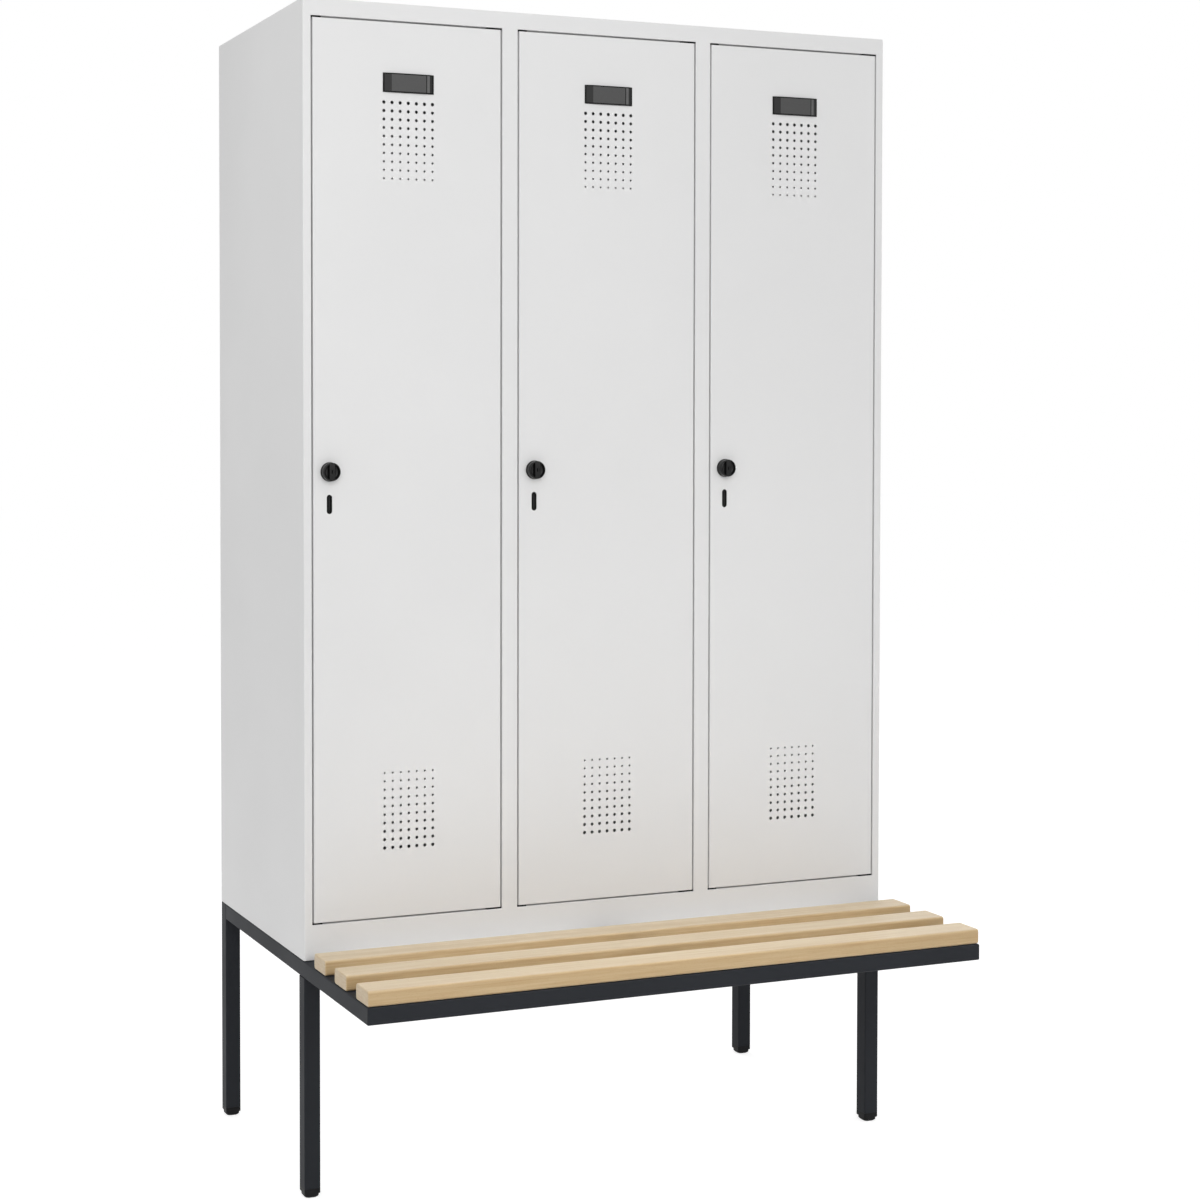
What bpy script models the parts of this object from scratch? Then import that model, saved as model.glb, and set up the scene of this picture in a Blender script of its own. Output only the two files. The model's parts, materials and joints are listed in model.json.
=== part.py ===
"""Three-door steel locker on a square-tube base, with a slatted beech bench in front.

Metres, +Z up, +X to the right as seen from the front. The doors and the bench face -Y.
The origin is on the floor, under the middle of the whole object.
"""

from math import asin, cos, hypot, pi, radians, sin, sqrt

import bmesh
import bpy
from mathutils import Vector

# Driving dimensions: the whole object
WIDTH = 1.200
BODY_DEPTH = 0.500
BODY_HEIGHT = 1.700
BASE_HEIGHT = 0.425
BENCH_REACH = 0.310
COMPARTMENTS = 3

# Driving dimensions: sheet metal
SHEET = 0.001
GAP = 0.0003
OUTER_RETURN = 0.004
BEND_RADIUS = 0.0025
BEND_STEPS = 3
FLANGE = 0.012

# Steps in each quarter of a small round corner, and the angle that stays a sharp edge
ROUND_STEPS = 2
SHARP_ANGLE = radians(35)

# Driving dimensions: front frame round the door openings
HEAD_RAIL = 0.030
FOOT_RAIL = 0.0635
END_STILE = 0.0155
MULLION = 0.031
STOP_LIP = 0.010
STOP_CLEARANCE = 0.0015
LATCH_NOTCH = 0.020
NOTCH_START = 0.003
NOTCH_CLEARANCE = 0.0045
SWING_CLEARANCE = 0.0014

# Driving dimensions: doors and their pivots
DOOR_GAP = 0.003
DOOR_THICKNESS = 0.018
DOOR_LIP = 0.012
PIVOT_INSET = 0.012
PIVOT_SETBACK = 0.008
PIN_RADIUS = 0.0035
PIN_HOLE_CLEARANCE = 0.0007
BEARING_LENGTH = 0.030
BEARING_WIDTH = 0.013
BEARING_CORNER = 0.001
PIN_REACH = 0.012
PIN_SIDES = 8
STIFFENER_WIDTH = 0.060
STIFFENER_FOOT = 0.010
STIFFENER_DEPTH = 0.014
STIFFENER_MARGIN = 0.060

# Driving dimensions: ventilation holes, two fields on each door
VENT_COLUMNS = 7
VENT_ROWS = 10
VENT_COLUMN_PITCH = 0.01562
VENT_ROW_PITCH = 0.015
VENT_UPPER_TOP = 0.1752
VENT_LOWER_BOTTOM = 0.1917
VENT_LARGE = 0.0062
VENT_SMALL = 0.0037
VENT_TAPER = 0.8

# Driving dimensions: label holder, above the upper holes
LABEL_WIDTH = 0.098
LABEL_HEIGHT = 0.0343
LABEL_FACE = 0.0665
LABEL_PROUD = 0.0040
LABEL_EDGE = 0.0010
LABEL_STEP = 0.0008
LABEL_STRIP = 0.0050
LABEL_TOP = 0.1231
LABEL_PEG_RADIUS = 0.0025
LABEL_PEG_LENGTH = 0.004
LABEL_PEG_SPACING = 0.070

# Driving dimensions: turn lock
KNOB_INSET = 0.0303
KNOB_HEIGHT = 0.868
KNOB_FLANGE_RADIUS = 0.0172
KNOB_FLANGE_THICKNESS = 0.003
KNOB_RADIUS = 0.0164
KNOB_PROUD = 0.0155
KNOB_ROUNDING = 0.0035
KNOB_SIDES = 16
GRIP_WIDTH = 0.0105
GRIP_SCOOP_DEPTH = 0.0060
KEYWAY_WIDTH = 0.0018
KEYWAY_LENGTH = 0.0080
KEYWAY_DEPTH = 0.0050
SHAFT_RADIUS = 0.005
SHAFT_SIDES = 8
SHAFT_CLEARANCE = 0.0008
SHAFT_SQUARE = 0.006
CASE_WIDTH = 0.034
CASE_DEPTH = 0.0150
CASE_ABOVE = 0.022
CASE_BELOW = 0.084
CASE_CORNER = 0.003
SLOT_DROP = 0.0577
SLOT_WIDTH = 0.0104
SLOT_LENGTH = 0.0344
SLOT_WALL = 0.0020
SLOT_DEPTH = 0.0045
SLOT_RECESS = 0.0004
SLOT_BAR_WIDTH = 0.0034
SLOT_BAR_LENGTH = 0.0275
CAM_THICKNESS = 0.0025
CAM_WIDTH = 0.012
CAM_SETBACK = 0.0010
CAM_TIP_CLEARANCE = 0.0023
CAM_HEEL = 0.009

# Driving dimensions: inside each compartment
SHELF_DROP = 0.300
SHELF_SETBACK = 0.045
SHELF_FLANGE = 0.020
SHELF_LIP = 0.008
RAIL_DROP = 0.050
RAIL_HEIGHT = 0.030
RAIL_WIDTH = 0.015
RAIL_WALL = 0.0015
RAIL_CUP = 0.004
RAIL_CUP_THICKNESS = 0.005
HOOK_THICKNESS = 0.012
HOOK_WALL = 0.003
HOOK_CLEARANCE = 0.0004
HOOK_STEM = 0.022
HOOK_ROD = 0.005
HOOK_BEND = 0.0155

# Driving dimensions: base frame and bench
TUBE = 0.030
TUBE_WALL = 0.002
TUBE_CORNER = 0.0025
FOOT_HEIGHT = 0.017
FOOT_TIP = 0.0225
FOOT_CORNER = 0.0065
FOOT_BEVEL = 0.003
FOOT_SHOULDER = 0.008
FOOT_STEP = 0.0014
FOOT_PLUG = 0.020
SLATS = 3
SLAT_WIDTH = 0.057
SLAT_THICKNESS = 0.027
SLAT_ROUNDING = 0.004
SLAT_END_SETBACK = 0.001
SLAT_BACK_SPACE = 0.048

# Places worked out from the driving dimensions
BENCH_Y = -(BODY_DEPTH + BENCH_REACH) / 2
FRONT_Y = BENCH_Y + BENCH_REACH
BACK_Y = FRONT_Y + BODY_DEPTH
BODY_TOP = BASE_HEIGHT + BODY_HEIGHT
HALF = WIDTH / 2
OPENING_WIDTH = (WIDTH - 2 * END_STILE - (COMPARTMENTS - 1) * MULLION) / COMPARTMENTS
OPENING_LOW = BASE_HEIGHT + FOOT_RAIL
OPENING_HIGH = BODY_TOP - HEAD_RAIL
SWING_RADIUS = hypot(PIVOT_INSET, DOOR_THICKNESS - PIVOT_SETBACK)
STOP_DEPTH = DOOR_THICKNESS + STOP_CLEARANCE + SHEET
HINGE_DEPTH = PIVOT_SETBACK + SWING_RADIUS + SWING_CLEARANCE + SHEET
HINGE_NOTCH = DOOR_GAP + PIVOT_INSET + SWING_RADIUS + NOTCH_CLEARANCE
INNER_FRONT = FRONT_Y + OUTER_RETURN + GAP
INNER_BACK = BACK_Y - OUTER_RETURN - GAP
FLOOR_TOP = OPENING_LOW - SHEET - GAP
KNOB_Z = BASE_HEIGHT + KNOB_HEIGHT
CAM_FRONT = FRONT_Y + STOP_DEPTH + CAM_SETBACK
SHELF_TOP = BODY_TOP - SHELF_DROP
RAIL_Z = SHELF_TOP - SHELF_FLANGE - RAIL_DROP
BASE_TOP = BASE_HEIGHT - GAP


def opening_left(index):
    """X of the left side of a door opening, counted from 0 at the left."""
    return -HALF + END_STILE + index * (OPENING_WIDTH + MULLION)


def door_span(index):
    left = opening_left(index)
    return left + DOOR_GAP, left + OPENING_WIDTH - DOOR_GAP


def partition_x(index):
    """X of the middle of the partition to the right of a compartment."""
    return opening_left(index) + OPENING_WIDTH + MULLION / 2


def compartment_span(index):
    """Clear X span between the side walls and partitions round a compartment."""
    left = partition_x(index - 1) + SHEET / 2 if index else -HALF + SHEET
    last = index == COMPARTMENTS - 1
    right = HALF - SHEET if last else partition_x(index) - SHEET / 2
    return left, right


# Materials

def material(name, colour, roughness, metallic=0.0):
    finish = bpy.data.materials.new(name)
    finish.use_nodes = True
    shader = finish.node_tree.nodes["Principled BSDF"]
    shader.inputs["Base Color"].default_value = (*colour, 1.0)
    shader.inputs["Roughness"].default_value = roughness
    shader.inputs["Metallic"].default_value = metallic
    return finish


# Outlines, as lists of two-dimensional points

def rounded_outline(width, height, radius, steps):
    """Rectangle round the origin with each corner an arc of the given steps."""
    points = []
    for quarter in range(4):
        turn = quarter * pi / 2
        across = 1 if quarter in (0, 3) else -1
        up = 1 if quarter in (0, 1) else -1
        centre = (across * (width / 2 - radius), up * (height / 2 - radius))
        for step in range(steps + 1):
            angle = turn + step / steps * pi / 2
            points.append((centre[0] + radius * cos(angle), centre[1] + radius * sin(angle)))
    return points


def polygon_outline(radius, sides, centre=(0.0, 0.0)):
    """Regular polygon with a flat side towards each axis where the count allows."""
    points = []
    for side in range(sides):
        angle = (side + 0.5) / sides * 2 * pi
        points.append((centre[0] + radius * cos(angle), centre[1] + radius * sin(angle)))
    return points


UNIT_SQUARE = ((1, 1), (-1, 1), (-1, -1), (1, -1))


def square_outline(side):
    return [(a * side / 2, b * side / 2) for a, b in UNIT_SQUARE]


# Ways to lay a local point (a, b, c) out in the room

def along_x(a, b, c):
    return Vector((c, a, b))


def along_y(a, b, c):
    return Vector((a, c, b))


def along_z(a, b, c):
    return Vector((a, b, c))


def shifted(lay, offset):
    """The same layout with its origin moved to a point in the room."""
    return lambda a, b, c: lay(a, b, c) + Vector(offset)


# Mesh builders

def add_prism(bm, outline, low, high, lay):
    """Solid of constant section between two stations."""
    ends = [[bm.verts.new(lay(a, b, c)) for a, b in outline] for c in (low, high)]
    count = len(outline)
    for index in range(count):
        following = (index + 1) % count
        bm.faces.new((ends[0][index], ends[0][following], ends[1][following], ends[1][index]))
    bm.faces.new(ends[0])
    bm.faces.new(ends[1])


def add_tube(bm, outer, inner, low, high, lay):
    """Hollow bar: low and high give the station of each end for a point of the section."""
    rings = []
    for outline, station in ((outer, low), (outer, high), (inner, high), (inner, low)):
        rings.append([bm.verts.new(lay(a, b, station(a, b))) for a, b in outline])
    count = len(outer)
    for ring, following in zip(rings, rings[1:] + rings[:1]):
        for index in range(count):
            near = (index + 1) % count
            bm.faces.new((ring[index], ring[near], following[near], following[index]))


def add_loft(bm, sections, lay):
    """Skin through sections of equal point count, each given as (outline, station)."""
    rings = [[bm.verts.new(lay(a, b, c)) for a, b in outline] for outline, c in sections]
    count = len(rings[0])
    for ring, following in zip(rings, rings[1:]):
        for index in range(count):
            near = (index + 1) % count
            bm.faces.new((ring[index], ring[near], following[near], following[index]))
    bm.faces.new(rings[0])
    bm.faces.new(rings[-1])


def tray_faces(across, up, depth, lay, sides, lip=0.0):
    """Visible faces of a folded tray: its plate, then a wall and a lip on the named sides."""
    (a0, a1), (b0, b1) = across, up
    corners = [(a0, b0), (a1, b0), (a1, b1), (a0, b1)]
    inset = [(a0 + lip, b0 + lip), (a1 - lip, b0 + lip), (a1 - lip, b1 - lip), (a0 + lip, b1 - lip)]
    faces = [[lay(a, b, 0.0) for a, b in corners]]
    for number, side in enumerate(("low", "right", "high", "left")):
        if side not in sides:
            continue
        following = (number + 1) % 4
        near, far = corners[number], corners[following]
        faces.append([lay(*near, 0.0), lay(*far, 0.0), lay(*far, depth), lay(*near, depth)])
        if lip:
            near_in, far_in = inset[number], inset[following]
            faces.append([lay(*near, depth), lay(*far, depth), lay(*far_in, depth), lay(*near_in, depth)])
    return faces


# Objects

def world_place(carrier):
    """World position of an empty, which is never rotated at rest."""
    if carrier is None:
        return Vector((0.0, 0.0, 0.0))
    return carrier.location + world_place(carrier.parent)


def axis_empty(name, place, carrier=None):
    """Empty on a joint's axis, which carries the pieces that move."""
    empty = bpy.data.objects.new(name, None)
    empty.empty_display_size = 0.05
    bpy.context.collection.objects.link(empty)
    empty.parent = carrier
    empty.location = Vector(place) - world_place(carrier)
    return empty


def add_object(name, bm, finish=None, carrier=None):
    """Object from a finished mesh in world coordinates, with its origin on its carrier."""
    origin = world_place(carrier)
    bmesh.ops.translate(bm, verts=bm.verts, vec=-origin)
    mesh = bpy.data.meshes.new(name)
    bm.to_mesh(mesh)
    bm.free()
    if finish is not None:
        mesh.materials.append(finish)
    piece = bpy.data.objects.new(name, mesh)
    bpy.context.collection.objects.link(piece)
    piece.parent = carrier
    return piece


def add_solid(name, bm, finish=None, carrier=None):
    bmesh.ops.recalc_face_normals(bm, faces=bm.faces)
    return add_object(name, bm, finish, carrier)


def add_sheet(name, faces, toward, finish, carrier=None, rounded_edges=None):
    """Folded sheet: the visible faces, made solid away from the side that they show."""
    bm = bmesh.new()
    for outline in faces:
        bm.faces.new([bm.verts.new(point) for point in outline])
    bmesh.ops.remove_doubles(bm, verts=bm.verts, dist=0.00001)
    bmesh.ops.recalc_face_normals(bm, faces=bm.faces)
    bm.faces.ensure_lookup_table()
    if bm.faces[0].normal.dot(Vector(toward)) < 0:
        bmesh.ops.reverse_faces(bm, faces=bm.faces)
    if rounded_edges is not None:
        folds = [edge for edge in bm.edges if rounded_edges(edge)]
        bmesh.ops.bevel(bm, geom=folds, offset=BEND_RADIUS, segments=BEND_STEPS, profile=0.5,
                        affect="EDGES")
    piece = add_object(name, bm, finish, carrier)
    thickness = piece.modifiers.new("sheet", "SOLIDIFY")
    thickness.thickness = SHEET
    thickness.offset = -1
    thickness.solidify_mode = "NON_MANIFOLD"
    thickness.nonmanifold_thickness_mode = "CONSTRAINTS"
    return piece


def combine(piece, name, bm, operation, carrier=None):
    """Cut a helper solid out of a piece, or join it on, with a live Boolean."""
    helper = add_solid(name, bm, None, carrier)
    helper.hide_render = True
    helper.display_type = "WIRE"
    modifier = piece.modifiers.new(name, "BOOLEAN")
    modifier.operation = operation
    modifier.object = helper


def shade_round(piece):
    """Smooth shading on round faces, with steeper edges left sharp."""
    piece.data.shade_smooth()
    piece.data.set_sharp_from_angle(angle=SHARP_ANGLE)


# Cabinet

def opening_faces(index):
    """Turned-in walls and stop lips of one door opening, with relief notches at the corners."""
    x0 = opening_left(index)
    x1 = x0 + OPENING_WIDTH
    z0, z1 = OPENING_LOW, OPENING_HIGH
    front, stop, hinge = FRONT_Y, FRONT_Y + STOP_DEPTH - SHEET, FRONT_Y + HINGE_DEPTH - SHEET
    low_notch, high_notch = z0 + LATCH_NOTCH, z1 - LATCH_NOTCH
    left_notch, right_notch = x0 + LATCH_NOTCH, x1 - HINGE_NOTCH
    near = FRONT_Y + NOTCH_START

    latch_wall = [(x0, front, z0), (x0, front, z1), (x0, near, z1), (x0, stop, z1), (x0, stop, high_notch),
                  (x0, stop, low_notch), (x0, stop, z0), (x0, near, z0)]
    latch_lip = [(x0, stop, low_notch), (x0, stop, high_notch),
                 (x0 + STOP_LIP, stop, high_notch), (x0 + STOP_LIP, stop, low_notch)]
    hinge_wall = [(x1, front, z0), (x1, front, z1), (x1, near, z1), (x1, stop, z1), (x1, hinge, z1),
                  (x1, hinge, high_notch), (x1, hinge, low_notch), (x1, hinge, z0), (x1, stop, z0),
                  (x1, near, z0)]
    hinge_lip = [(x1, hinge, low_notch), (x1, hinge, high_notch),
                 (x1 - STOP_LIP, hinge, high_notch), (x1 - STOP_LIP, hinge, low_notch)]
    faces = [latch_wall, latch_lip, hinge_wall, hinge_lip]
    for z, inward in ((z0, STOP_LIP), (z1, -STOP_LIP)):
        faces.append([(x0, front, z), (x1, front, z), (x1, near, z), (left_notch, near, z), (x0, near, z)])
        faces.append([(left_notch, near, z), (x1, near, z), (x1, stop, z), (right_notch, stop, z),
                      (left_notch, stop, z)])
        faces.append([(left_notch, stop, z), (right_notch, stop, z),
                      (right_notch, stop, z + inward), (left_notch, stop, z + inward)])
    return faces


def front_frame(finish):
    """One welded face frame: stiles, mullions and rails with their turned-in edges."""
    stations = [-HALF]
    for index in range(COMPARTMENTS):
        stations += [opening_left(index), opening_left(index) + OPENING_WIDTH]
    stations.append(HALF)
    levels = [BASE_HEIGHT, OPENING_LOW, OPENING_HIGH, BODY_TOP]
    faces = []
    for column, (x0, x1) in enumerate(zip(stations, stations[1:])):
        for row, (z0, z1) in enumerate(zip(levels, levels[1:])):
            is_opening = column % 2 == 1 and row == 1
            if not is_opening:
                faces.append([(x0, FRONT_Y, z0), (x1, FRONT_Y, z0), (x1, FRONT_Y, z1), (x0, FRONT_Y, z1)])
    behind = FRONT_Y + OUTER_RETURN
    for x in (-HALF, HALF):
        for z0, z1 in zip(levels, levels[1:]):
            faces.append([(x, FRONT_Y, z0), (x, FRONT_Y, z1), (x, behind, z1), (x, behind, z0)])
    for z in (BASE_HEIGHT, BODY_TOP):
        for x0, x1 in zip(stations, stations[1:]):
            faces.append([(x0, FRONT_Y, z), (x1, FRONT_Y, z), (x1, behind, z), (x0, behind, z)])
    for index in range(COMPARTMENTS):
        faces += opening_faces(index)

    def is_outer_fold(edge):
        first, second = (vertex.co for vertex in edge.verts)
        upright = abs(first.x - second.x) < GAP and abs(first.y - second.y) < GAP
        outermost = abs(abs(first.x) - HALF) < GAP and abs(first.y - FRONT_Y) < GAP
        return upright and outermost

    frame = add_sheet("front_frame", faces, (0, -1, 0), finish, rounded_edges=is_outer_fold)
    holes = bmesh.new()
    for index in range(COMPARTMENTS):
        for level in (OPENING_LOW, OPENING_HIGH):
            centre = pivot_point(index)
            outline = polygon_outline(PIN_RADIUS + PIN_HOLE_CLEARANCE, PIN_SIDES, (centre.x, centre.y))
            add_prism(holes, outline, level - 2 * SHEET, level + 2 * SHEET, along_z)
    combine(frame, "front_frame_pin_holes", holes, "DIFFERENCE")


def side_panels(finish):
    """Outer side walls, each with a foot flange turned in under the floor."""
    for name, side in (("side_panel_left", -1), ("side_panel_right", 1)):
        def lay(a, b, c):
            return Vector((side * (HALF - c), a, b))
        faces = tray_faces((INNER_FRONT, INNER_BACK), (BASE_HEIGHT, BODY_TOP), FLANGE, lay, ("low",))
        add_sheet(name, faces, (side, 0, 0), finish)


def back_panel(finish):
    faces = tray_faces((-HALF, HALF), (BASE_HEIGHT, BODY_TOP), -OUTER_RETURN,
                       shifted(along_y, (0, BACK_Y, 0)), ("low", "right", "high", "left"))
    add_sheet("back_panel", faces, (0, 1, 0), finish)


def top_panel(finish):
    """Roof sheet between the side walls, with an edge turned down along each of them."""
    reach = HALF - SHEET - GAP
    faces = tray_faces((-reach, reach), (INNER_FRONT, INNER_BACK), -FLANGE,
                       shifted(along_z, (0, 0, BODY_TOP)), ("left", "right"))
    add_sheet("top_panel", faces, (0, 0, 1), finish)


def floor_panel(finish):
    """Raised floor behind the door openings' sills, with its edges turned down along the walls."""
    reach = HALF - SHEET - GAP
    front = FRONT_Y + STOP_DEPTH + GAP
    back = BACK_Y - SHEET - GAP
    faces = tray_faces((-reach, reach), (front, back), -FLANGE,
                       shifted(along_z, (0, 0, FLOOR_TOP)), ("low", "right", "high", "left"))
    add_sheet("floor_panel", faces, (0, 0, 1), finish)


def partitions(finish):
    """Upright walls between compartments, flanged at the floor, the roof and the back."""
    for index in range(COMPARTMENTS - 1):
        faces = tray_faces((FRONT_Y + SHEET + GAP, BACK_Y - SHEET - GAP),
                           (FLOOR_TOP + GAP, BODY_TOP - SHEET - GAP), FLANGE,
                           lambda a, b, c: Vector((partition_x(index) - SHEET / 2 + c, a, b)),
                           ("low", "right", "high"))
        add_sheet(f"partition_{index + 1}", faces, (-1, 0, 0), finish)


def hat_shelf(index, finish):
    left, right = compartment_span(index)
    back = BACK_Y - 2 * (SHEET + GAP)
    faces = tray_faces((left + GAP, right - GAP), (FRONT_Y + SHELF_SETBACK, back), -SHELF_FLANGE,
                       shifted(along_z, (0, 0, SHELF_TOP)), ("low", "right", "high", "left"), SHELF_LIP)
    add_sheet(f"hat_shelf_{index + 1}", faces, (0, 0, 1), finish)


def oval_outline(grow):
    """Section of the clothes rail, grown on every side by the given amount."""
    return rounded_outline(RAIL_WIDTH + 2 * grow, RAIL_HEIGHT + 2 * grow,
                           RAIL_WIDTH / 2 + grow, ROUND_STEPS)


def clothes_rail(index, finish):
    """Oval tube across the compartment, with a cup at each end against the walls."""
    left, right = compartment_span(index)
    left, right = left + GAP, right - GAP
    lay = shifted(along_x, (0, (FRONT_Y + BACK_Y) / 2, RAIL_Z))
    bore, rail, cup = (oval_outline(grow) for grow in (-RAIL_WALL, 0.0, RAIL_CUP))
    left_seat, right_seat = left + RAIL_CUP_THICKNESS, right - RAIL_CUP_THICKNESS
    bm = bmesh.new()
    sections = [(bore, left), (cup, left), (cup, left_seat), (rail, left_seat),
                (rail, right_seat), (cup, right_seat), (cup, right), (bore, right)]
    rings = [[bm.verts.new(lay(a, b, c)) for a, b in outline] for outline, c in sections]
    count = len(bore)
    for ring, following in zip(rings, rings[1:] + rings[:1]):
        for point in range(count):
            near = (point + 1) % count
            bm.faces.new((ring[point], ring[near], following[near], following[point]))
    shade_round(add_solid(f"clothes_rail_{index + 1}", bm, finish))


def coat_hook(index, finish):
    """Anchor-shaped double hook on a ring that slides along the rail."""
    left, right = compartment_span(index)
    middle = (left + right) / 2
    centre = Vector((middle, (FRONT_Y + BACK_Y) / 2, RAIL_Z))
    carrier = axis_empty(f"coat_hook_{index + 1}_axis", centre)
    lay = shifted(along_x, centre)
    hole = oval_outline(HOOK_CLEARANCE)
    ring = oval_outline(HOOK_CLEARANCE + HOOK_WALL)
    half = HOOK_THICKNESS / 2
    bm = bmesh.new()
    add_tube(bm, ring, hole, lambda a, b: -half, lambda a, b: half, lay)
    hook = add_solid(f"coat_hook_{index + 1}", bm, finish, carrier)

    stem_top = -(RAIL_HEIGHT / 2 + HOOK_CLEARANCE + HOOK_WALL / 2)
    bend_z = stem_top - HOOK_STEM
    inner, outer = HOOK_BEND - HOOK_ROD / 2, HOOK_BEND + HOOK_ROD / 2
    side = HOOK_ROD / 2
    join = asin(side / inner)
    outline = []
    arc = 6
    for step in range(arc + 1):
        angle = pi + step / arc * pi
        outline.append((outer * cos(angle), bend_z + outer * sin(angle)))
    for step in range(arc // 2 + 1):
        angle = -step / (arc // 2) * (pi / 2 - join)
        outline.append((inner * cos(angle), bend_z + inner * sin(angle)))
    outline += [(side, stem_top), (-side, stem_top)]
    for step in range(arc // 2 + 1):
        angle = -pi / 2 - join - step / (arc // 2) * (pi / 2 - join)
        outline.append((inner * cos(angle), bend_z + inner * sin(angle)))
    bm = bmesh.new()
    add_prism(bm, outline, -half, half, lay)
    combine(hook, f"coat_hook_{index + 1}_prongs", bm, "UNION", carrier)


# Doors

def pivot_point(index):
    """Point on a door's pivot axis, at the level of the floor under the locker."""
    right = door_span(index)[1]
    return Vector((right - PIVOT_INSET, FRONT_Y + PIVOT_SETBACK, 0.0))


def pivot_pin(name, index, level, down, finish):
    """Pin through the frame and the door's edge, with a bearing plate in the gap between them."""
    centre = pivot_point(index)
    turn = -1 if down else 1
    plate_low, plate_high = GAP, DOOR_GAP - GAP
    pin = polygon_outline(PIN_RADIUS, PIN_SIDES)
    to_corner = PIVOT_INSET + DOOR_GAP - GAP - BEARING_LENGTH / 2
    plate = [(a + to_corner, b)
             for a, b in rounded_outline(BEARING_LENGTH, BEARING_WIDTH, BEARING_CORNER, 1)]
    stations = [(pin, -SHEET), (pin, plate_low), (plate, plate_low), (plate, plate_high),
                (pin, plate_high), (pin, DOOR_GAP + PIN_REACH)]
    sections = [(outline, level + turn * station) for outline, station in stations]
    bm = bmesh.new()
    add_loft(bm, sections, shifted(along_z, centre))
    shade_round(add_solid(name, bm, finish))


def vent_diameter(row):
    """Hole diameter in a row counted from the outer end of a field, shrinking inwards."""
    share = row / (VENT_ROWS - 1)
    return VENT_LARGE + (VENT_SMALL - VENT_LARGE) * share ** VENT_TAPER


def vent_outline(x, z, diameter):
    """Four-sided hole on its point, with the area of the round hole that it stands for."""
    reach = diameter / 2 * sqrt(pi / 2)
    return [(x + reach, z), (x, z + reach), (x - reach, z), (x, z - reach)]


def vent_cutter(middle):
    """Two fields of holes, the largest holes towards the door's ends."""
    low, high = FRONT_Y - SHEET, FRONT_Y + 2 * SHEET
    bm = bmesh.new()
    for row in range(VENT_ROWS):
        for column in range(VENT_COLUMNS):
            x = middle + (column - (VENT_COLUMNS - 1) / 2) * VENT_COLUMN_PITCH
            upper = BODY_TOP - VENT_UPPER_TOP - row * VENT_ROW_PITCH
            lower = BASE_HEIGHT + VENT_LOWER_BOTTOM + row * VENT_ROW_PITCH
            for z in (upper, lower):
                add_prism(bm, vent_outline(x, z, vent_diameter(row)), low, high, along_y)
    return bm


def door_panel(index, finish, carrier):
    """Folded door tray with its vents, lock openings and pivot holes."""
    number = index + 1
    left, right = door_span(index)
    low, high = OPENING_LOW + DOOR_GAP, OPENING_HIGH - DOOR_GAP
    faces = tray_faces((left, right), (low, high), DOOR_THICKNESS, shifted(along_y, (0, FRONT_Y, 0)),
                       ("low", "right", "high", "left"), DOOR_LIP)
    panel = add_sheet(f"door_panel_{number}", faces, (0, -1, 0), finish, carrier)
    combine(panel, f"door_vents_{number}", vent_cutter((left + right) / 2), "DIFFERENCE", carrier)

    fittings = bmesh.new()
    knob_x = left + KNOB_INSET
    behind, ahead = FRONT_Y + 2 * SHEET, FRONT_Y - SHEET
    shaft = polygon_outline(SHAFT_RADIUS + SHAFT_CLEARANCE, SHAFT_SIDES, (knob_x, KNOB_Z))
    add_prism(fittings, shaft, ahead, behind, along_y)
    add_prism(fittings, slot_outline(0.0), ahead, behind,
              shifted(along_y, (knob_x, 0, KNOB_Z - SLOT_DROP)))
    label_z = BODY_TOP - LABEL_TOP - LABEL_HEIGHT / 2
    for side in (-1, 1):
        peg_x = (left + right) / 2 + side * LABEL_PEG_SPACING / 2
        peg = polygon_outline(LABEL_PEG_RADIUS + GAP, PIN_SIDES, (peg_x, label_z))
        add_prism(fittings, peg, ahead, behind, along_y)
    pivot = pivot_point(index)
    pin = polygon_outline(PIN_RADIUS + PIN_HOLE_CLEARANCE, PIN_SIDES, (pivot.x, pivot.y))
    for level in (low, high):
        add_prism(fittings, pin, level - 2 * SHEET, level + 2 * SHEET, along_z)
    combine(panel, f"door_fittings_{number}", fittings, "DIFFERENCE", carrier)


def door_stiffener(index, finish, carrier):
    """Hat-section strip up the middle of the door, between the two fields of holes."""
    left, right = door_span(index)
    middle = (left + right) / 2
    rows = (VENT_ROWS - 1) * VENT_ROW_PITCH
    low = BASE_HEIGHT + VENT_LOWER_BOTTOM + rows + STIFFENER_MARGIN
    high = BODY_TOP - VENT_UPPER_TOP - rows - STIFFENER_MARGIN
    near = FRONT_Y + SHEET + GAP + SHEET
    far = FRONT_Y + SHEET + GAP + STIFFENER_DEPTH
    half = STIFFENER_WIDTH / 2
    crown = half - STIFFENER_FOOT
    path = [(-half, near), (-crown, near), (-crown, far), (crown, far), (crown, near), (half, near)]
    faces = []
    for (a0, y0), (a1, y1) in zip(path, path[1:]):
        x0, x1 = middle + a0, middle + a1
        faces.append([(x0, y0, low), (x1, y1, low), (x1, y1, high), (x0, y0, high)])
    add_sheet(f"door_stiffener_{index + 1}", faces, (0, 1, 0), finish, carrier)


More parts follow.
